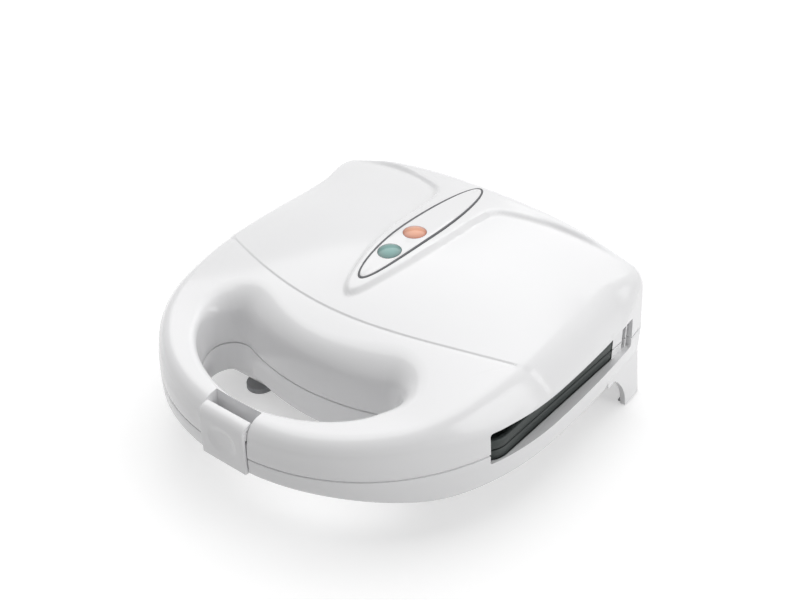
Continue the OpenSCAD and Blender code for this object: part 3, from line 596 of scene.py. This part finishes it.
# %% The base's rows
BASE_EDGE_R = 3.4


def base_rows(skin, spans, arc, top_z=None):
    """Rings from the seam at the handle hole, underneath, to the outer seam."""
    a, na, b, nb = hole, hole_out, outline, outline_out
    rim = SEAM_Z - SEAM_GAP / 2
    r = max(0.8, BASE_EDGE_R - skin)
    inset = skin + DRAFT / 2
    rows = []
    for t in np.radians(np.linspace(0, 90, arc + 1)):
        p = a + na * (inset + r * (1 - math.cos(t)))
        rows.append(at(p, base_z(p) + skin + r * (1 - math.sin(t))))
    ai, bi = a + na * (inset + r), b - nb * (inset + r)
    for share in (1 - np.cos(np.linspace(0, np.pi, spans + 2)[1:-1])) / 2:
        p = mix(ai, bi, share)
        rows.append(at(p, base_z(p) + skin))
    for t in np.radians(np.linspace(90, 0, arc + 1)):
        p = b - nb * (inset + r * (1 - math.cos(t)))
        rows.append(at(p, base_z(p) + skin + r * (1 - math.sin(t))))
    if top_z is not None:
        high_a = np.maximum(top_z(a[:, 1]), rows[0][:, 2] + 1)
        high_b = np.maximum(top_z(b[:, 1]), rows[-1][:, 2] + 1)
        q = b - nb * skin
        q[:, 1] = relief_y(q[:, 1], VOID_RISE, skin)
        return [at(a + na * skin, high_a)] + rows + [at(q, high_b)]
    wall_a = [mix(at(a, rim - LIP), rows[0], s) for s in (0, 0.5)]
    knee = at(b - nb * (DRAFT / 8), np.maximum(rim - KNEE, rows[-1][:, 2] + 0.05))
    low = np.stack([b[:, 0], relief_y(b[:, 1], SEAM_GAP / 2 + LIP, 0)], -1)
    wall_b = [knee] + [mix(knee, at(low, rim - LIP), s) for s in (0.5, 1)]
    inner, soft = low - nb * LIP, 0.3 * LIP
    over = [at(low - nb * soft, rim - soft), at(inner, rim)]
    over += [at(mix(inner, a + na * LIP, s), rim) for s in (0.33, 0.67, 1)]
    return [at(a + na * soft, rim - soft)] + wall_a + rows + wall_b + over


base = shell("base_shell", base_rows(0, 30, 6),
             base_rows(SKIN, 12, 2, handle_blend(39.2, 33.1)))
print("base shell:", len(base.data.polygons), "faces")

# %% [markdown]
# ## Openings
# The plate bay, the side slots, the hinge notches, the latch's room and the
# lamp panel's opening are cut with Boolean tools, because their edges are
# crisp on the real mouldings, while the lofts stay smooth round them.

# %% Cut the lid and the base
PLATE_W, PLATE_L, PLATE_R, PLATE_Y = 215.0, 121.0, 13.0, 25.0
SLOT_Y, SLOT_L, SLOT_R, SLOT_LOW, SLOT_HIGH = 28.5, 125.0, 1.6, 36.2, 55.0
HINGE_X, LATCH_W = 66, 31


def slot_tools():
    """The slot itself, its deeper front end and two recesses at its rear end."""
    mid, high = (SLOT_LOW + SLOT_HIGH) / 2, SLOT_HIGH - SLOT_LOW
    tools = []
    for side in (-1, 1):
        def along_x(name, profile, near, far):
            tools.append(side_prism(name, profile, *sorted((side * near, side * far))))

        along_x("slot", rounded_rect(SLOT_L, high, SLOT_R, SLOT_Y, mid, 5), 107.6, 125)
        front_y = SLOT_Y - SLOT_L / 2 + 13.01
        front = rounded_rect(26, high - 0.02, SLOT_R, front_y, mid, 3)
        along_x("slot_end", front, 90, 112)
        for y, w in [(86.6, 3.2), (90.25, 1.4)]:
            along_x("slot_back", rounded_rect(w, high - 0.6, 0.3, y, mid, 2), 97, 112)
    return tools


def bay_tool(z0, z1, margin=0.4):
    return prism("bay", rounded_rect(PLATE_W + 2 * margin, PLATE_L + 2 * margin,
                                     PLATE_R + margin, 0, PLATE_Y, 12), z0, z1)


def hinge_tools(z0, z1):
    return [prism("notch", rounded_rect(29.8, 30, 0.6, side * HINGE_X, 114.5, 2), z0, z1)
            for side in (-1, 1)]


LATCH_FRONT, LATCH_T, LATCH_FACE = -111.0, 3.4, -110.0
PIN_Y, PIN_Z = -103.5, 55.0


def latch_tool(in_lid):
    """Room for the clip, with a deeper pocket round its pin in the lid."""
    ahead, back, pocket = -118, LATCH_FRONT + LATCH_T + 0.9, PIN_Y + 7.5
    if in_lid:
        room = [[ahead, 30], [back, 30], [back, PIN_Z - 4.6], [pocket, PIN_Z - 4.6],
                [pocket, 80], [ahead, 80]]
    else:
        room = [[ahead, 20], [back, 20], [back, 50], [ahead, 50]]
    return side_prism("latch_room", room, -LATCH_W / 2, LATCH_W / 2)


def inlet_tool(x, z, r):
    obj = prism("inlet_room", rounded_rect(2 * r, 2 * r, r - 0.001, x, -z, 10), 100, 114)
    obj.data.transform(Matrix.Rotation(math.radians(-90), 4, "X"))
    return obj


cut(lid, [bay_tool(30, 52), bay_tool(50, 60, -4)] + slot_tools() + hinge_tools(30, 48.8)
    + [latch_tool(True), prism("panel_room", oval(0.25), 80, 100)])
cut(base, [bay_tool(26.9, 50)] + slot_tools() + hinge_tools(35.5, 50)
    + [latch_tool(False), inlet_tool(36, 31, 5.45)])
print("after cutting:", len(lid.data.polygons), "and", len(base.data.polygons), "faces")

# %% [markdown]
# ## Rear legs
# At each rear corner the wall runs on down to the floor. It is a strip that
# follows the outline round the corner. Its lower edge is an arch in front,
# flat on its pad, and rises again across the back, and the strip leans
# forward and flares out a little on its way down.

# %% Strip round each rear corner
LEG_TOP, PAD_Z, ARCH_RISE, FLARE, LEG_LEVELS = 29.0, 1, 22.6, 3.9, 9


def lower_edge(path, run):
    """Height of the strip's lower edge: an arch, the pad and the rise behind."""
    front, back = run[np.argmax(path[:, 1] > 85)], run[-1] - 9
    ahead = np.clip((front - run) / 11, 0, 1) ** 0.42
    behind = np.clip((run - back) / 7, 0, 1) ** 0.42
    low = np.where(run < front, PAD_Z + ARCH_RISE * ahead, float(PAD_Z))
    return np.where(run > back, PAD_Z + ARCH_RISE * behind, low)


def leg(side):
    fine, _ = right_half(24)
    length = distance_along(fine)
    first = np.argmax((fine[:, 1] > 66) & (fine[:, 0] > 100))
    last = np.argmax((fine[:, 1] > 109) & (fine[:, 0] < 84))
    path, run = fine[first:last + 1], length[first:last + 1]
    normal = outward(np.vstack([fine, fine[::-1] * [-1, 1]]))[first:last + 1]
    low = lower_edge(path, run - run[0])
    levels, grid = LEG_LEVELS, []
    for skin in (0.35, 3.2):
        for k in range(levels):
            z = mix(LEG_TOP, low, k / (levels - 1))
            down = np.clip((LEG_TOP - z) / (LEG_TOP - PAD_Z), 0, 1)
            p = path - normal * (skin + 0.45)
            squash = 1 - 0.6 * down
            y = np.where(p[:, 1] > CORNER_Y,
                         CORNER_Y + (p[:, 1] - CORNER_Y) * squash, p[:, 1])
            flare = FLARE * down ** 0.9 * np.clip((p[:, 0] - 84) / 20, 0, 1)
            x = np.minimum(p[:, 0] + flare, 113.7 - skin)
            grid.append(np.column_stack([side * x, y, np.minimum(z, LEG_TOP)]))
    n = len(path)
    faces = []

    def quad(*corners):
        faces.append([(skin * levels + k) * n + i for skin, k, i in corners])

    for i in range(n - 1):
        for k in range(levels - 1):
            quad((0, k, i), (0, k, i + 1), (0, k + 1, i + 1), (0, k + 1, i))
            quad((1, k, i), (1, k + 1, i), (1, k + 1, i + 1), (1, k, i + 1))
        for k in (0, levels - 1):
            quad((0, k, i), (1, k, i), (1, k, i + 1), (0, k, i + 1))
    for i in (0, n - 1):
        for k in range(levels - 1):
            quad((0, k, i), (0, k + 1, i), (1, k + 1, i), (1, k, i))
    return outward_faces(make_object("leg", np.concatenate(grid), faces))


legs = [leg(1), leg(-1)]
lowest = [min(v.co.z for v in leg_half.data.vertices) / MM for leg_half in legs]
print("legs end at", [round(z, 2) for z in lowest], "mm")

# %% [markdown]
# ## Shader maths as plain sums
# One small class wraps a node socket. Sums and products of sockets write
# their own Math nodes, and `node` adds any other node, settings first.

# %% The socket class
class Wire:
    def __init__(self, tree, socket=None):
        self.tree, self.socket = tree, socket

    def node(self, kind, settings=None, sockets=None, out=0):
        made = self.tree.nodes.new(kind)
        for key, value in (settings or {}).items():
            setattr(made, key, value)
        for key, value in (sockets or {}).items():
            if isinstance(value, Wire):
                self.tree.links.new(value.socket, made.inputs[key])
            else:
                made.inputs[key].default_value = value
        return Wire(self.tree, made.outputs[out])

    def maths(self, operation, *values):
        return self.node("ShaderNodeMath", {"operation": operation},
                         dict(enumerate(values)))

    def __add__(self, other):
        return self.maths("ADD", self, other)

    def __sub__(self, other):
        return self.maths("SUBTRACT", self, other)

    def __rsub__(self, other):
        return self.maths("SUBTRACT", other, self)

    def __mul__(self, other):
        return self.maths("MULTIPLY", self, other)

    def __truediv__(self, other):
        return self.maths("DIVIDE", self, other)

    def __rtruediv__(self, other):
        return self.maths("DIVIDE", other, self)

    def __pow__(self, other):
        return self.maths("POWER", self, other)

    __radd__, __rmul__ = __add__, __mul__


def rgb(r, g, b):
    """A colour as read from a screen, 0 to 255, in the renderer's linear values."""
    shares = [c / 255 for c in (r, g, b)]
    return [(c / 12.92 if c <= 0.04045 else ((c + 0.055) / 1.055) ** 2.4)
            for c in shares] + [1.0]


def finish(name, build=None, **fixed):
    """A Principled material: fixed numbers on its sockets, then what build links."""
    material = bpy.data.materials.new(name)
    material.use_nodes = True
    tree = material.node_tree
    shader = tree.nodes["Principled BSDF"]
    for key, value in fixed.items():
        shader.inputs[key.replace("_", " ")].default_value = value
    if build:
        for key, wire in build(Wire(tree)).items():
            tree.links.new(wire.socket, shader.inputs[key])
    return material


print("shader helpers ready")

# %% [markdown]
# ## White moulded plastic
# The housings are glossy polypropylene-like plastic. Up close the gloss has a
# very fine orange peel, and its sheen varies a little where it was polished
# in the mould. The colour hardly varies at all.

# %% White plastic
def place(w):
    return w.node("ShaderNodeTexCoord", out=3)


def noise(w, scale, detail=2.0, roughness=0.5):
    return w.node("ShaderNodeTexNoise", None, {
        "Vector": place(w), "Scale": scale, "Detail": detail, "Roughness": roughness})


def colours(w, factor, low, high):
    return w.node("ShaderNodeMix", {"data_type": "RGBA"}, {0: factor, 6: low, 7: high},
                  out=2)


def bump(w, height, distance, strength=1.0):
    return w.node("ShaderNodeBump", None,
                  {"Height": height, "Distance": distance, "Strength": strength})


def plastic_build(w):
    cloud, peel = noise(w, 22, 3), noise(w, 900, 1)
    return {"Base Color": colours(w, cloud, rgb(240, 240, 241), rgb(243, 243, 244)),
            "Roughness": 0.2 + cloud * 0.08,
            "Normal": bump(w, peel, 0.000012)}


white_plastic = finish("white_plastic", plastic_build, Coat_Weight=0.35,
                       Coat_Roughness=0.12, Specular_IOR_Level=0.45)
print("made", white_plastic.name)

# %% [markdown]
# ## Coating, rubber and metal
# The plates carry a dark greenish-black non-stick coating with a fine fleck.
# The feet are matt pale rubber. Pins, arms and screws are plated steel, which
# shows faint drawing marks, because its noise is stretched along one axis.
# The heater's sheath is steel that heat has browned, in patches.

# %% The other finishes
def coating_build(w):
    fleck = noise(w, 1400, 2)
    cloud = noise(w, 60, 3)
    return {"Base Color": colours(w, cloud, rgb(38, 44, 43), rgb(50, 57, 55)),
            "Roughness": 0.36 + fleck * 0.16,
            "Normal": bump(w, fleck, 0.00003)}


def rubber_build(w):
    grain = noise(w, 1200, 2)
    return {"Base Color": colours(w, grain, rgb(176, 177, 180), rgb(190, 191, 193)),
            "Roughness": 0.62 + grain * 0.2, "Normal": bump(w, grain, 0.00003)}


def steel_build(w):
    streaks = w.node("ShaderNodeTexNoise", None, {
        "Vector": w.node("ShaderNodeMapping", None,
                         {"Vector": place(w), "Scale": (60, 1400, 1400)}),
        "Scale": 1.0, "Detail": 2.0})
    return {"Base Color": colours(w, streaks, rgb(170, 171, 174), rgb(205, 206, 208)),
            "Roughness": 0.26 + streaks * 0.14}


def sheath_build(w):
    heat = noise(w, 45, 3)
    return {"Base Color": colours(w, heat, rgb(92, 84, 80), rgb(128, 120, 112)),
            "Roughness": 0.42 + heat * 0.16}


def ceramic_build(w):
    grain = noise(w, 700, 3)
    return {"Base Color": colours(w, grain, rgb(214, 208, 190), rgb(228, 222, 205)),
            "Roughness": 0.5 + grain * 0.2}


plate_coating = finish("plate_coating", coating_build, Metallic=0.15)
rubber = finish("foot_rubber", rubber_build)
steel = finish("plated_steel", steel_build, Metallic=1.0)
sheath = finish("element_sheath", sheath_build, Metallic=0.9)
ceramic = finish("ceramic", ceramic_build)


def clouded(name, scale, low, high, **fixed):
    """A finish whose colour drifts between two values and is otherwise even."""
    def build(w):
        return {"Base Color": colours(w, noise(w, scale), rgb(*low), rgb(*high))}
    return finish(name, build, **fixed)


def rubbed(name, scale, smoothest, spread, **fixed):
    """A finish whose gloss drifts and whose colour is even."""
    def build(w):
        return {"Roughness": smoothest + noise(w, scale) * spread}
    return finish(name, build, **fixed)


brass = clouded("brass_tag", 90, (186, 158, 92), (206, 178, 110),
                Metallic=1.0, Roughness=0.34)
bright_sheet = rubbed("bright_sheet", 200, 0.22, 0.2,
                      Metallic=1.0, Base_Color=rgb(222, 223, 225))
fitting = clouded("fitting_plastic", 400, (226, 224, 214), (234, 232, 224),
                  Roughness=0.45)
lamp_glass = rubbed("lamp_glass", 50, 0.05, 0.03,
                    Base_Color=rgb(250, 205, 160), Transmission_Weight=0.7)
# Painted shade: this dark grey stands for the shade in the groove round the lamp panel.
groove_shade_grey = clouded("groove_shade_grey", 300, (70, 71, 75), (84, 85, 89), Roughness=0.4)
print("finishes:", len(bpy.data.materials))

# %% [markdown]
# ## The two housings, finished
# The legs are part of the base's moulding, so their meshes join it. Shading is
# smooth over the curves and crisp at cut edges, decided edge by edge from the
# angle between the two faces.

# %% Finish the two housings
def join(target, others):
    bm = bmesh.new()
    for obj in [target] + others:
        bm.from_mesh(obj.data)
    bm.to_mesh(target.data)
    bm.free()
    for obj in others:
        bpy.data.objects.remove(obj)
    return target


def dress(obj, material, slot_name, body, *replaced):
    obj.data.materials.clear()
    obj.data.materials.append(material)
    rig.slot(obj, slot_name)
    if replaced:
        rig.replaces(obj, *replaced)
    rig.ride(obj, body)
    return obj


lid.name, base.name = "lid_moulding", "base_moulding"
join(base, legs)
for obj in (lid, base):
    smooth_but_sharp(obj)
dress(lid, white_plastic, "housing", "lid", "lid_housing")
dress(base, white_plastic, "housing", "base", "base_housing")
print("housings dressed")

# %% [markdown]
# ## The plates
# Each plate is a casting with four triangular wells that seal a sandwich's
# edges. The depth is a function of the distance to the nearest well edge, so
# the walls flow into the floor as a casting's do.

# %% Plate mesh
WELL_DEEP, WELL_SOFT = 12, 3.0


def basin(*gaps):
    """A soft minimum: the distance to the nearest of a well's three edges."""
    total = sum(np.exp(-np.clip(g, -60, 60) / WELL_SOFT) for g in gaps)
    return -WELL_SOFT * np.log(total)


def well_depth(x, y):
    x0, x1, y0, y1 = 7.0, 101.5, -54.5, 54.5
    slope = math.hypot(x1 - x0, y1 - y0)
    ax = np.abs(x)
    cross = ((ax - x0) * (y1 - y0) - (y - y0) * (x1 - x0)) / slope
    front = basin(cross - 2, y - y0, x1 - ax)
    rear = basin(-cross - 2, y1 - y, ax - x0)
    return WELL_DEEP * smooth(np.maximum(front, rear) / 5.4)


def plate_grid(nx, ny):
    """Points in rows over the plate, pressed into its rounded corners."""
    x, y = np.meshgrid(np.linspace(-PLATE_W / 2, PLATE_W / 2, nx),
                       np.linspace(-PLATE_L / 2, PLATE_L / 2, ny))
    straight_x, straight_y = PLATE_W / 2 - PLATE_R, PLATE_L / 2 - PLATE_R
    dx = np.maximum(np.abs(x) - straight_x, 0)
    dy = np.maximum(np.abs(y) - straight_y, 0)
    fit = np.maximum(dx, dy) / np.maximum(np.hypot(dx, dy), 1e-9)
    corner = (dx > 0) & (dy > 0)
    return (np.where(corner, np.sign(x) * (straight_x + dx * fit), x),
            np.where(corner, np.sign(y) * (straight_y + dy * fit), y))


def band(before, after):
    """Quads between two closed rings of vertex numbers."""
    n = len(before)
    return [[before[i], after[i], after[(i + 1) % n], before[(i + 1) % n]]
            for i in range(n)]


def plate_object(name, face_z, up):
    nx, ny = 173, 97
    px, py = plate_grid(nx, ny)
    depth = well_depth(px, py)
    top = np.stack([px, py, -depth], -1).reshape(-1, 3)
    ids = np.arange(nx * ny).reshape(ny, nx)
    faces = [[ids[j, i], ids[j, i + 1], ids[j + 1, i + 1], ids[j + 1, i]]
             for j in range(ny - 1) for i in range(nx - 1)]
    under_faces = [face[::-1] for face in faces]
    rim = np.concatenate([ids[0, :-1], ids[:-1, -1], ids[-1, :0:-1], ids[:0:-1, 0]])
    edge = top[rim]
    out = outward(edge[:, :2])
    top[rim, :2] -= out * RIM_SOFT
    verts, previous, count = [top], rim, len(top)
    for gap, z in RIM_STEPS:
        ring = edge - np.column_stack([out * gap, np.zeros(len(rim))])
        ring[:, 2] = z
        verts.append(ring)
        new = np.arange(count, count + len(rim))
        faces += band(previous, new)
        count, previous = count + len(rim), new
    inside = np.stack([px, py, -depth - CASTING_T], -1).reshape(-1, 3)
    inside[:, :2] *= [1 - 2 * UNDER_IN / PLATE_W, 1 - 2 * UNDER_IN / PLATE_L]
    verts = np.concatenate(verts + [inside])
    faces += [[count + a for a in face] for face in under_faces]
    faces += band(previous, rim + count)
    verts[:, 2] = face_z + up * verts[:, 2]
    verts[:, 1] += PLATE_Y
    obj = make_object(name, verts, [list(map(int, f)) for f in faces])
    return smooth_but_sharp(outward_faces(obj), 50)


LOWER_FACE, UPPER_FACE = 41.7, 42.3
RIM_SOFT, CASTING_T, UNDER_IN = 0.8, 2.4, 2.6
RIM_STEPS = [(0.25, -0.25), (0, -0.8), (0, -5.4), (0.4, -5.8), (2.2, -5.8), (2.6, -5.2)]
base_plate = plate_object("lower_plate", LOWER_FACE, 1)
lid_plate = plate_object("upper_plate", UPPER_FACE, -1)
dress(base_plate, plate_coating, "coated_plate", "base", "base_grill_plate")
dress(lid_plate, plate_coating, "coated_plate", "lid", "lid_grill_plate")
print("plates:", len(base_plate.data.polygons), "faces each")

# %% [markdown]
# ## The lamp panel
# A slim oval cap lies along the spine, with two low domed lamps. A dark grey
# line runs round the cap, painted shade that stands for the groove between the
# cap and the lid. The cap and the line are rings of the same oval at different
# sizes, and all of them follow the spine's arch.

# %% Cap and the painted groove shade
def stack(name, rings):
    """Rings of equal count, joined in order; both ends are closed."""
    n = len(rings[0])
    verts = np.concatenate(rings)
    faces = [[j * n + i, j * n + (i + 1) % n, (j + 1) * n + (i + 1) % n, (j + 1) * n + i]
             for j in range(len(rings) - 1) for i in range(n)]
    faces.append([(len(rings) - 1) * n + i for i in range(n)])
    faces.append(list(range(n))[::-1])
    return outward_faces(make_object(name, verts, faces))


CAP_UP, BORDER_W, BORDER_UP = 0.5, 1.15, 0.28
LAMP_R, DOME, LAMP_HOLE_R = 6.45, 1.35, 6.6
READY_Y, POWER_Y = 20.0, 41.5


def oval_ring(grow, up, share=1.0):
    """A ring of the oval at a height over the spine's arch."""
    p = (oval(grow) - [0, PANEL_Y]) * share + [0, PANEL_Y]
    return at(p, spine_z(p[:, 1]) + up)


cap_rings = [oval_ring(-BORDER_W - grow, CAP_UP + up)
             for grow, up in ((0, -8 - CAP_UP), (0, -0.7), (0.15, -0.25), (0.6, 0))]
cap_rings += [oval_ring(-BORDER_W - 0.6, CAP_UP, share)
              for share in (0.85, 0.65, 0.4, 0.15, 0.03)]
panel = stack("panel_cap", cap_rings)


def circle(r, y):
    t = np.linspace(0, 2 * np.pi, 64, endpoint=False)
    return np.stack([np.cos(t), np.sin(t)], -1) * r + [0, y]


def lamp_tool(y, r):
    return prism("lamp_hole", circle(r, y), 87.2, 96)


cut(panel, [lamp_tool(y, LAMP_HOLE_R) for y in (READY_Y, POWER_Y)])
smooth_but_sharp(panel, 30)
dress(panel, white_plastic, "panel", "lid", "indicator_panel")
# A dark grey ring round the cap, painted shade for the groove between cap and lid.
groove_shade = stack("panel_groove_shade", [
    oval_ring(0.15, -3), oval_ring(0.15, 0.12), oval_ring(-0.1, BORDER_UP),
    oval_ring(-BORDER_W, BORDER_UP), oval_ring(-BORDER_W - 0.5, -2.9)])
smooth_but_sharp(groove_shade, 30)
dress(groove_shade, groove_shade_grey, "panel", "lid")
print("panel top at", round(float(spine_z(PANEL_Y)) + CAP_UP, 2), "mm")

# %% [markdown]
# ## The two lamps
# Each lamp is a low dome of tinted plastic that stands on the cap's arch. Its
# colour is mixed by the distance from the lamp's own centre, lighter in the
# middle and darker towards the rim: painted shading of the dome.

# %% Lamps
def plan(w):
    """X and Y of the place that is shaded, in metres."""
    return [w.node("ShaderNodeSeparateXYZ", None, {0: place(w)}, out=i) for i in (0, 1)]


def lens_finish(name, y, rim, middle):
    def build(w):
        x, along = plan(w)
        off = (along - y * MM) / (LAMP_R * MM)
        across = x / (LAMP_R * MM)
        ring = (off * off + across * across) ** 1.5
        # Painted shade: the colour darkens towards the dome's rim.
        rim_shade = ring * (0.85 + noise(w, 260, 2) * 0.3)
        return {"Base Color": colours(w, rim_shade, middle, rim)}
    return finish(name, build, Roughness=0.2, Coat_Weight=0.6, Coat_Roughness=0.08)


green_lens = lens_finish("green_lens", READY_Y, rgb(44, 92, 90), rgb(104, 160, 154))
orange_lens = lens_finish("orange_lens", POWER_Y, rgb(176, 96, 62), rgb(232, 158, 118))


def lamp(name, y, material, node, slot_name):
    big = (LAMP_R ** 2 + DOME ** 2) / (2 * DOME)
    rings = []
    for share, up in [(0, -3.2)] + [(share, 0) for share in np.linspace(0, 0.97, 14)]:
        r = LAMP_R * (1 - share)
        p = circle(r, y)
        dome = CAP_UP + up + DOME - big + math.sqrt(big * big - r * r)
        rings.append(at(p, spine_z(p[:, 1]) + dome))
    obj = smooth_but_sharp(stack(name, rings), 40)
    return dress(obj, material, slot_name, "lid", node)


lamp("ready_lamp", READY_Y, green_lens, "ready_lens", "green_lens")
lamp("power_lamp", POWER_Y, orange_lens, "power_lens", "orange_lens")
print("lamps at y", READY_Y, "and", POWER_Y, "mm")

# %% [markdown]
# ## The latch
# The latch is a moulded clip on a pin through the handle. Its front is gently
# bowed, with a shallow oval dimple for the thumb. It is a side profile swept
# across, with the profile drawn in at both ends so that the edges are soft.

# %% Latch mesh
LATCH_TOP, LATCH_LOW, LATCH_R, DIMPLE = 61.4, 32.2, 6, 1.1
HALF_CLIP, END_SOFT, END_DRAW = 15, 0.9, 0.7


def latch_profile():
    """The clip seen from its side: front and top first, then the inner face."""
    front, t, top, low, r = LATCH_FACE, LATCH_T, LATCH_TOP, LATCH_LOW, LATCH_R
    arc = np.radians(np.linspace(180, 90, 12))
    cy, cz = front + r, top - r
    outer = [[front, z] for z in np.linspace(low + 0.8, cz - 0.5, 26)]
    outer = [[front + 0.8, low], [front + 0.25, low + 0.25]] + outer
    outer += [[cy + r * math.cos(a), cz + r * math.sin(a)] for a in arc]
    front = LATCH_FRONT
    outer += [[front + 7.7, top - 0.1], [front + 7.9, top - 0.5], [front + 7.9, top - t]]
    inner = [[front + 4.2, top - t - 0.3], [front + t, top - 4.6],
             [front + t, PIN_Z + 2], [PIN_Y, PIN_Z + 3.5], [PIN_Y + 3, PIN_Z + 2.2],
             [PIN_Y + 3.7, PIN_Z], [PIN_Y + 2.2, PIN_Z - 3], [PIN_Y - 1, PIN_Z - 3.6],
             [front + t, PIN_Z - 2], [front + t, low + 3.2], [front + t + 0.6, low + 2.6],
             [front + t + 0.6, low + 1.0], [front + t, low + 0.3], [front + t - 0.5, low]]
    return np.array(outer + inner)


profile = latch_profile()
step = np.roll(profile, -1, 0) - np.roll(profile, 1, 0)
profile_in = np.stack([step[:, 1], -step[:, 0]], -1)
profile_in /= np.linalg.norm(profile_in, axis=1, keepdims=True)
ends = HALF_CLIP - END_SOFT * (1 - np.cos(np.linspace(0, np.pi / 2, 6)))
rings = []
for x in np.concatenate([-ends, np.linspace(-13.6, 13.6, 41), ends[::-1]]):
    over = max(0, abs(x) - (HALF_CLIP - END_SOFT)) / END_SOFT
    draw = END_DRAW * (1 - math.sqrt(max(0, 1 - over ** 2)))
    p = profile + profile_in * draw
    reach = np.clip(1 - (x / 10.5) ** 2 - ((p[:, 1] - 46) / 9) ** 2, 0, 1)
    on_front = p[:, 0] < LATCH_FACE + 1.2
    dimple = np.where(on_front, DIMPLE * smooth(reach * 1.2), 0)
    rings.append(np.column_stack([np.full(len(p), x), p[:, 0] + dimple, p[:, 1]]))
latch = smooth_but_sharp(stack("latch_clip", rings), 38)
dress(latch, white_plastic, "housing", "latch", "latch")
print("latch:", len(latch.data.polygons), "faces")

# %% [markdown]
# ## Finishes on the plain CAD pieces
# Pins, screws, feet and what lies inside keep their CAD shapes and get the
# finishes made above.

# %% Assign finishes
cad_finishes = {
    rubber: ["front_feet", "rear_leg_pads"],
    steel: ["base_hinge_brackets", "hinge_pins", "lid_hinge_arms", "latch_pin",
            "base_plate_screws", "lid_plate_screws", "cord_clamp_screws",
            "thermostat_bracket", "thermal_fuse"],
    sheath: ["base_heating_element", "lid_heating_element"],
    bright_sheet: ["base_reflector", "lid_reflector"],
    ceramic: ["base_element_terminals", "lid_element_terminals", "thermostat"],
    fitting: ["inlet_bush", "cord_clamp", "terminal_block", "lamp_holder"],
    brass: ["earth_tag"],
    lamp_glass: ["neon_lamps"],
}
for material, names in cad_finishes.items():
    for name in names:
        nodes[name].data.materials.clear()
        nodes[name].data.materials.append(material)
print("dressed", sum(len(names) for names in cad_finishes.values()), "CAD pieces")

# %% [markdown]
# ## The floor
# The photograph is a product shot on white. The floor is pale and takes the
# soft contact shadow. Only what the camera, mirrors and clear things see of
# it is lifted towards white, and more so farther out, so that no extra light
# falls on the toaster.

# %% Floor
FLOOR_GREY, FLOOR_LIFT, FAR_LIFT, CLEAR_FROM, CLEAR_TO = 0.72, 0.42, 0.8, 0.15, 0.36


def looked_at(w):
    """Above 0 for what the camera sees, also in a mirror or through clear plastic."""
    camera, glossy, clear = (w.node("ShaderNodeLightPath", out=f"Is {kind} Ray")
                             for kind in ("Camera", "Glossy", "Transmission"))
    return camera + glossy + clear


def floor_material():
    material = bpy.data.materials.new("floor")
    material.use_nodes = True
    tree = material.node_tree
    tree.nodes.clear()
    w = Wire(tree)
    soft = w.node("ShaderNodeBsdfDiffuse", None, {"Color": (FLOOR_GREY,) * 3 + (1,)})
    x, y = plan(w)
    away = ((x * x + y * y) ** 0.5 - CLEAR_FROM) / (CLEAR_TO - CLEAR_FROM)
    lift = colours(w, w.maths("MINIMUM", w.maths("MAXIMUM", away, 0.0), 1.0),
                   (FLOOR_LIFT,) * 3 + (1,), (FAR_LIFT,) * 3 + (1,))
    glow = w.node("ShaderNodeEmission", None, {"Color": lift, "Strength": looked_at(w)})
    both = w.node("ShaderNodeAddShader", None, {0: soft, 1: glow})
    out = tree.nodes.new("ShaderNodeOutputMaterial")
    tree.links.new(both.socket, out.inputs["Surface"])
    return material


floor = make_object("floor", [[-6, -6, 0], [6, -6, 0], [6, 6, 0], [-6, 6, 0]],
                    [[0, 1, 2, 3]], floor_material(), mm=False)
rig.stage(floor)
print("floor lifted by", FLOOR_LIFT, "near the toaster and", FAR_LIFT, "beyond")

# %% [markdown]
# ## World and lamps
# The white surroundings light the toaster only weakly, and look fully white to
# the camera. A large soft box over the left rear is the main light, and a
# small one on the right opens up the shaded side.

# %% World and soft boxes
WORLD_LEVEL = 0.31

world = bpy.data.worlds.new("studio")
scene.world = world
world.use_nodes = True
w = Wire(world.node_tree)
seen = w.maths("MINIMUM", looked_at(w), 1.0)
level = WORLD_LEVEL + seen * (1 - WORLD_LEVEL)
background = world.node_tree.nodes["Background"]
background.inputs["Color"].default_value = (1.0, 1.0, 1.0, 1)
world.node_tree.links.new(level.socket, background.inputs["Strength"])


def soft_box(name, place_at, aim, side, power):
    data = bpy.data.lights.new(name, "AREA")
    data.shape, data.size, data.size_y = "RECTANGLE", side, side
    data.energy = power
    lamp_object = bpy.data.objects.new(name, data)
    scene.collection.objects.link(lamp_object)
    lamp_object.location = place_at
    lamp_object.rotation_mode = "QUATERNION"
    towards = Vector(aim) - Vector(place_at)
    lamp_object.rotation_quaternion = towards.to_track_quat("-Z", "Y")
    return lamp_object


MIDDLE = (0, 0, 0.05)
soft_box("key", (-0.5, 0.45, 1.8), MIDDLE, side=2.4, power=30)
soft_box("fill", (1.5, 0.35, 0.55), MIDDLE, side=1.0, power=8)
print("lights:", [o.name for o in scene.objects if o.type == "LIGHT"])

# %% [markdown]
# ## Sizes, and the end
# Two boxes are written down: the CAD model's, taken before anything was made,
# and the visible model's. The second has to lie inside the first.

# %% Write the sizes and finish
json.dump({"cad": cad_box, "visual": [list(corner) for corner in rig.bounds()]},
          open("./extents.json", "w"))
print(open("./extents.json").read())
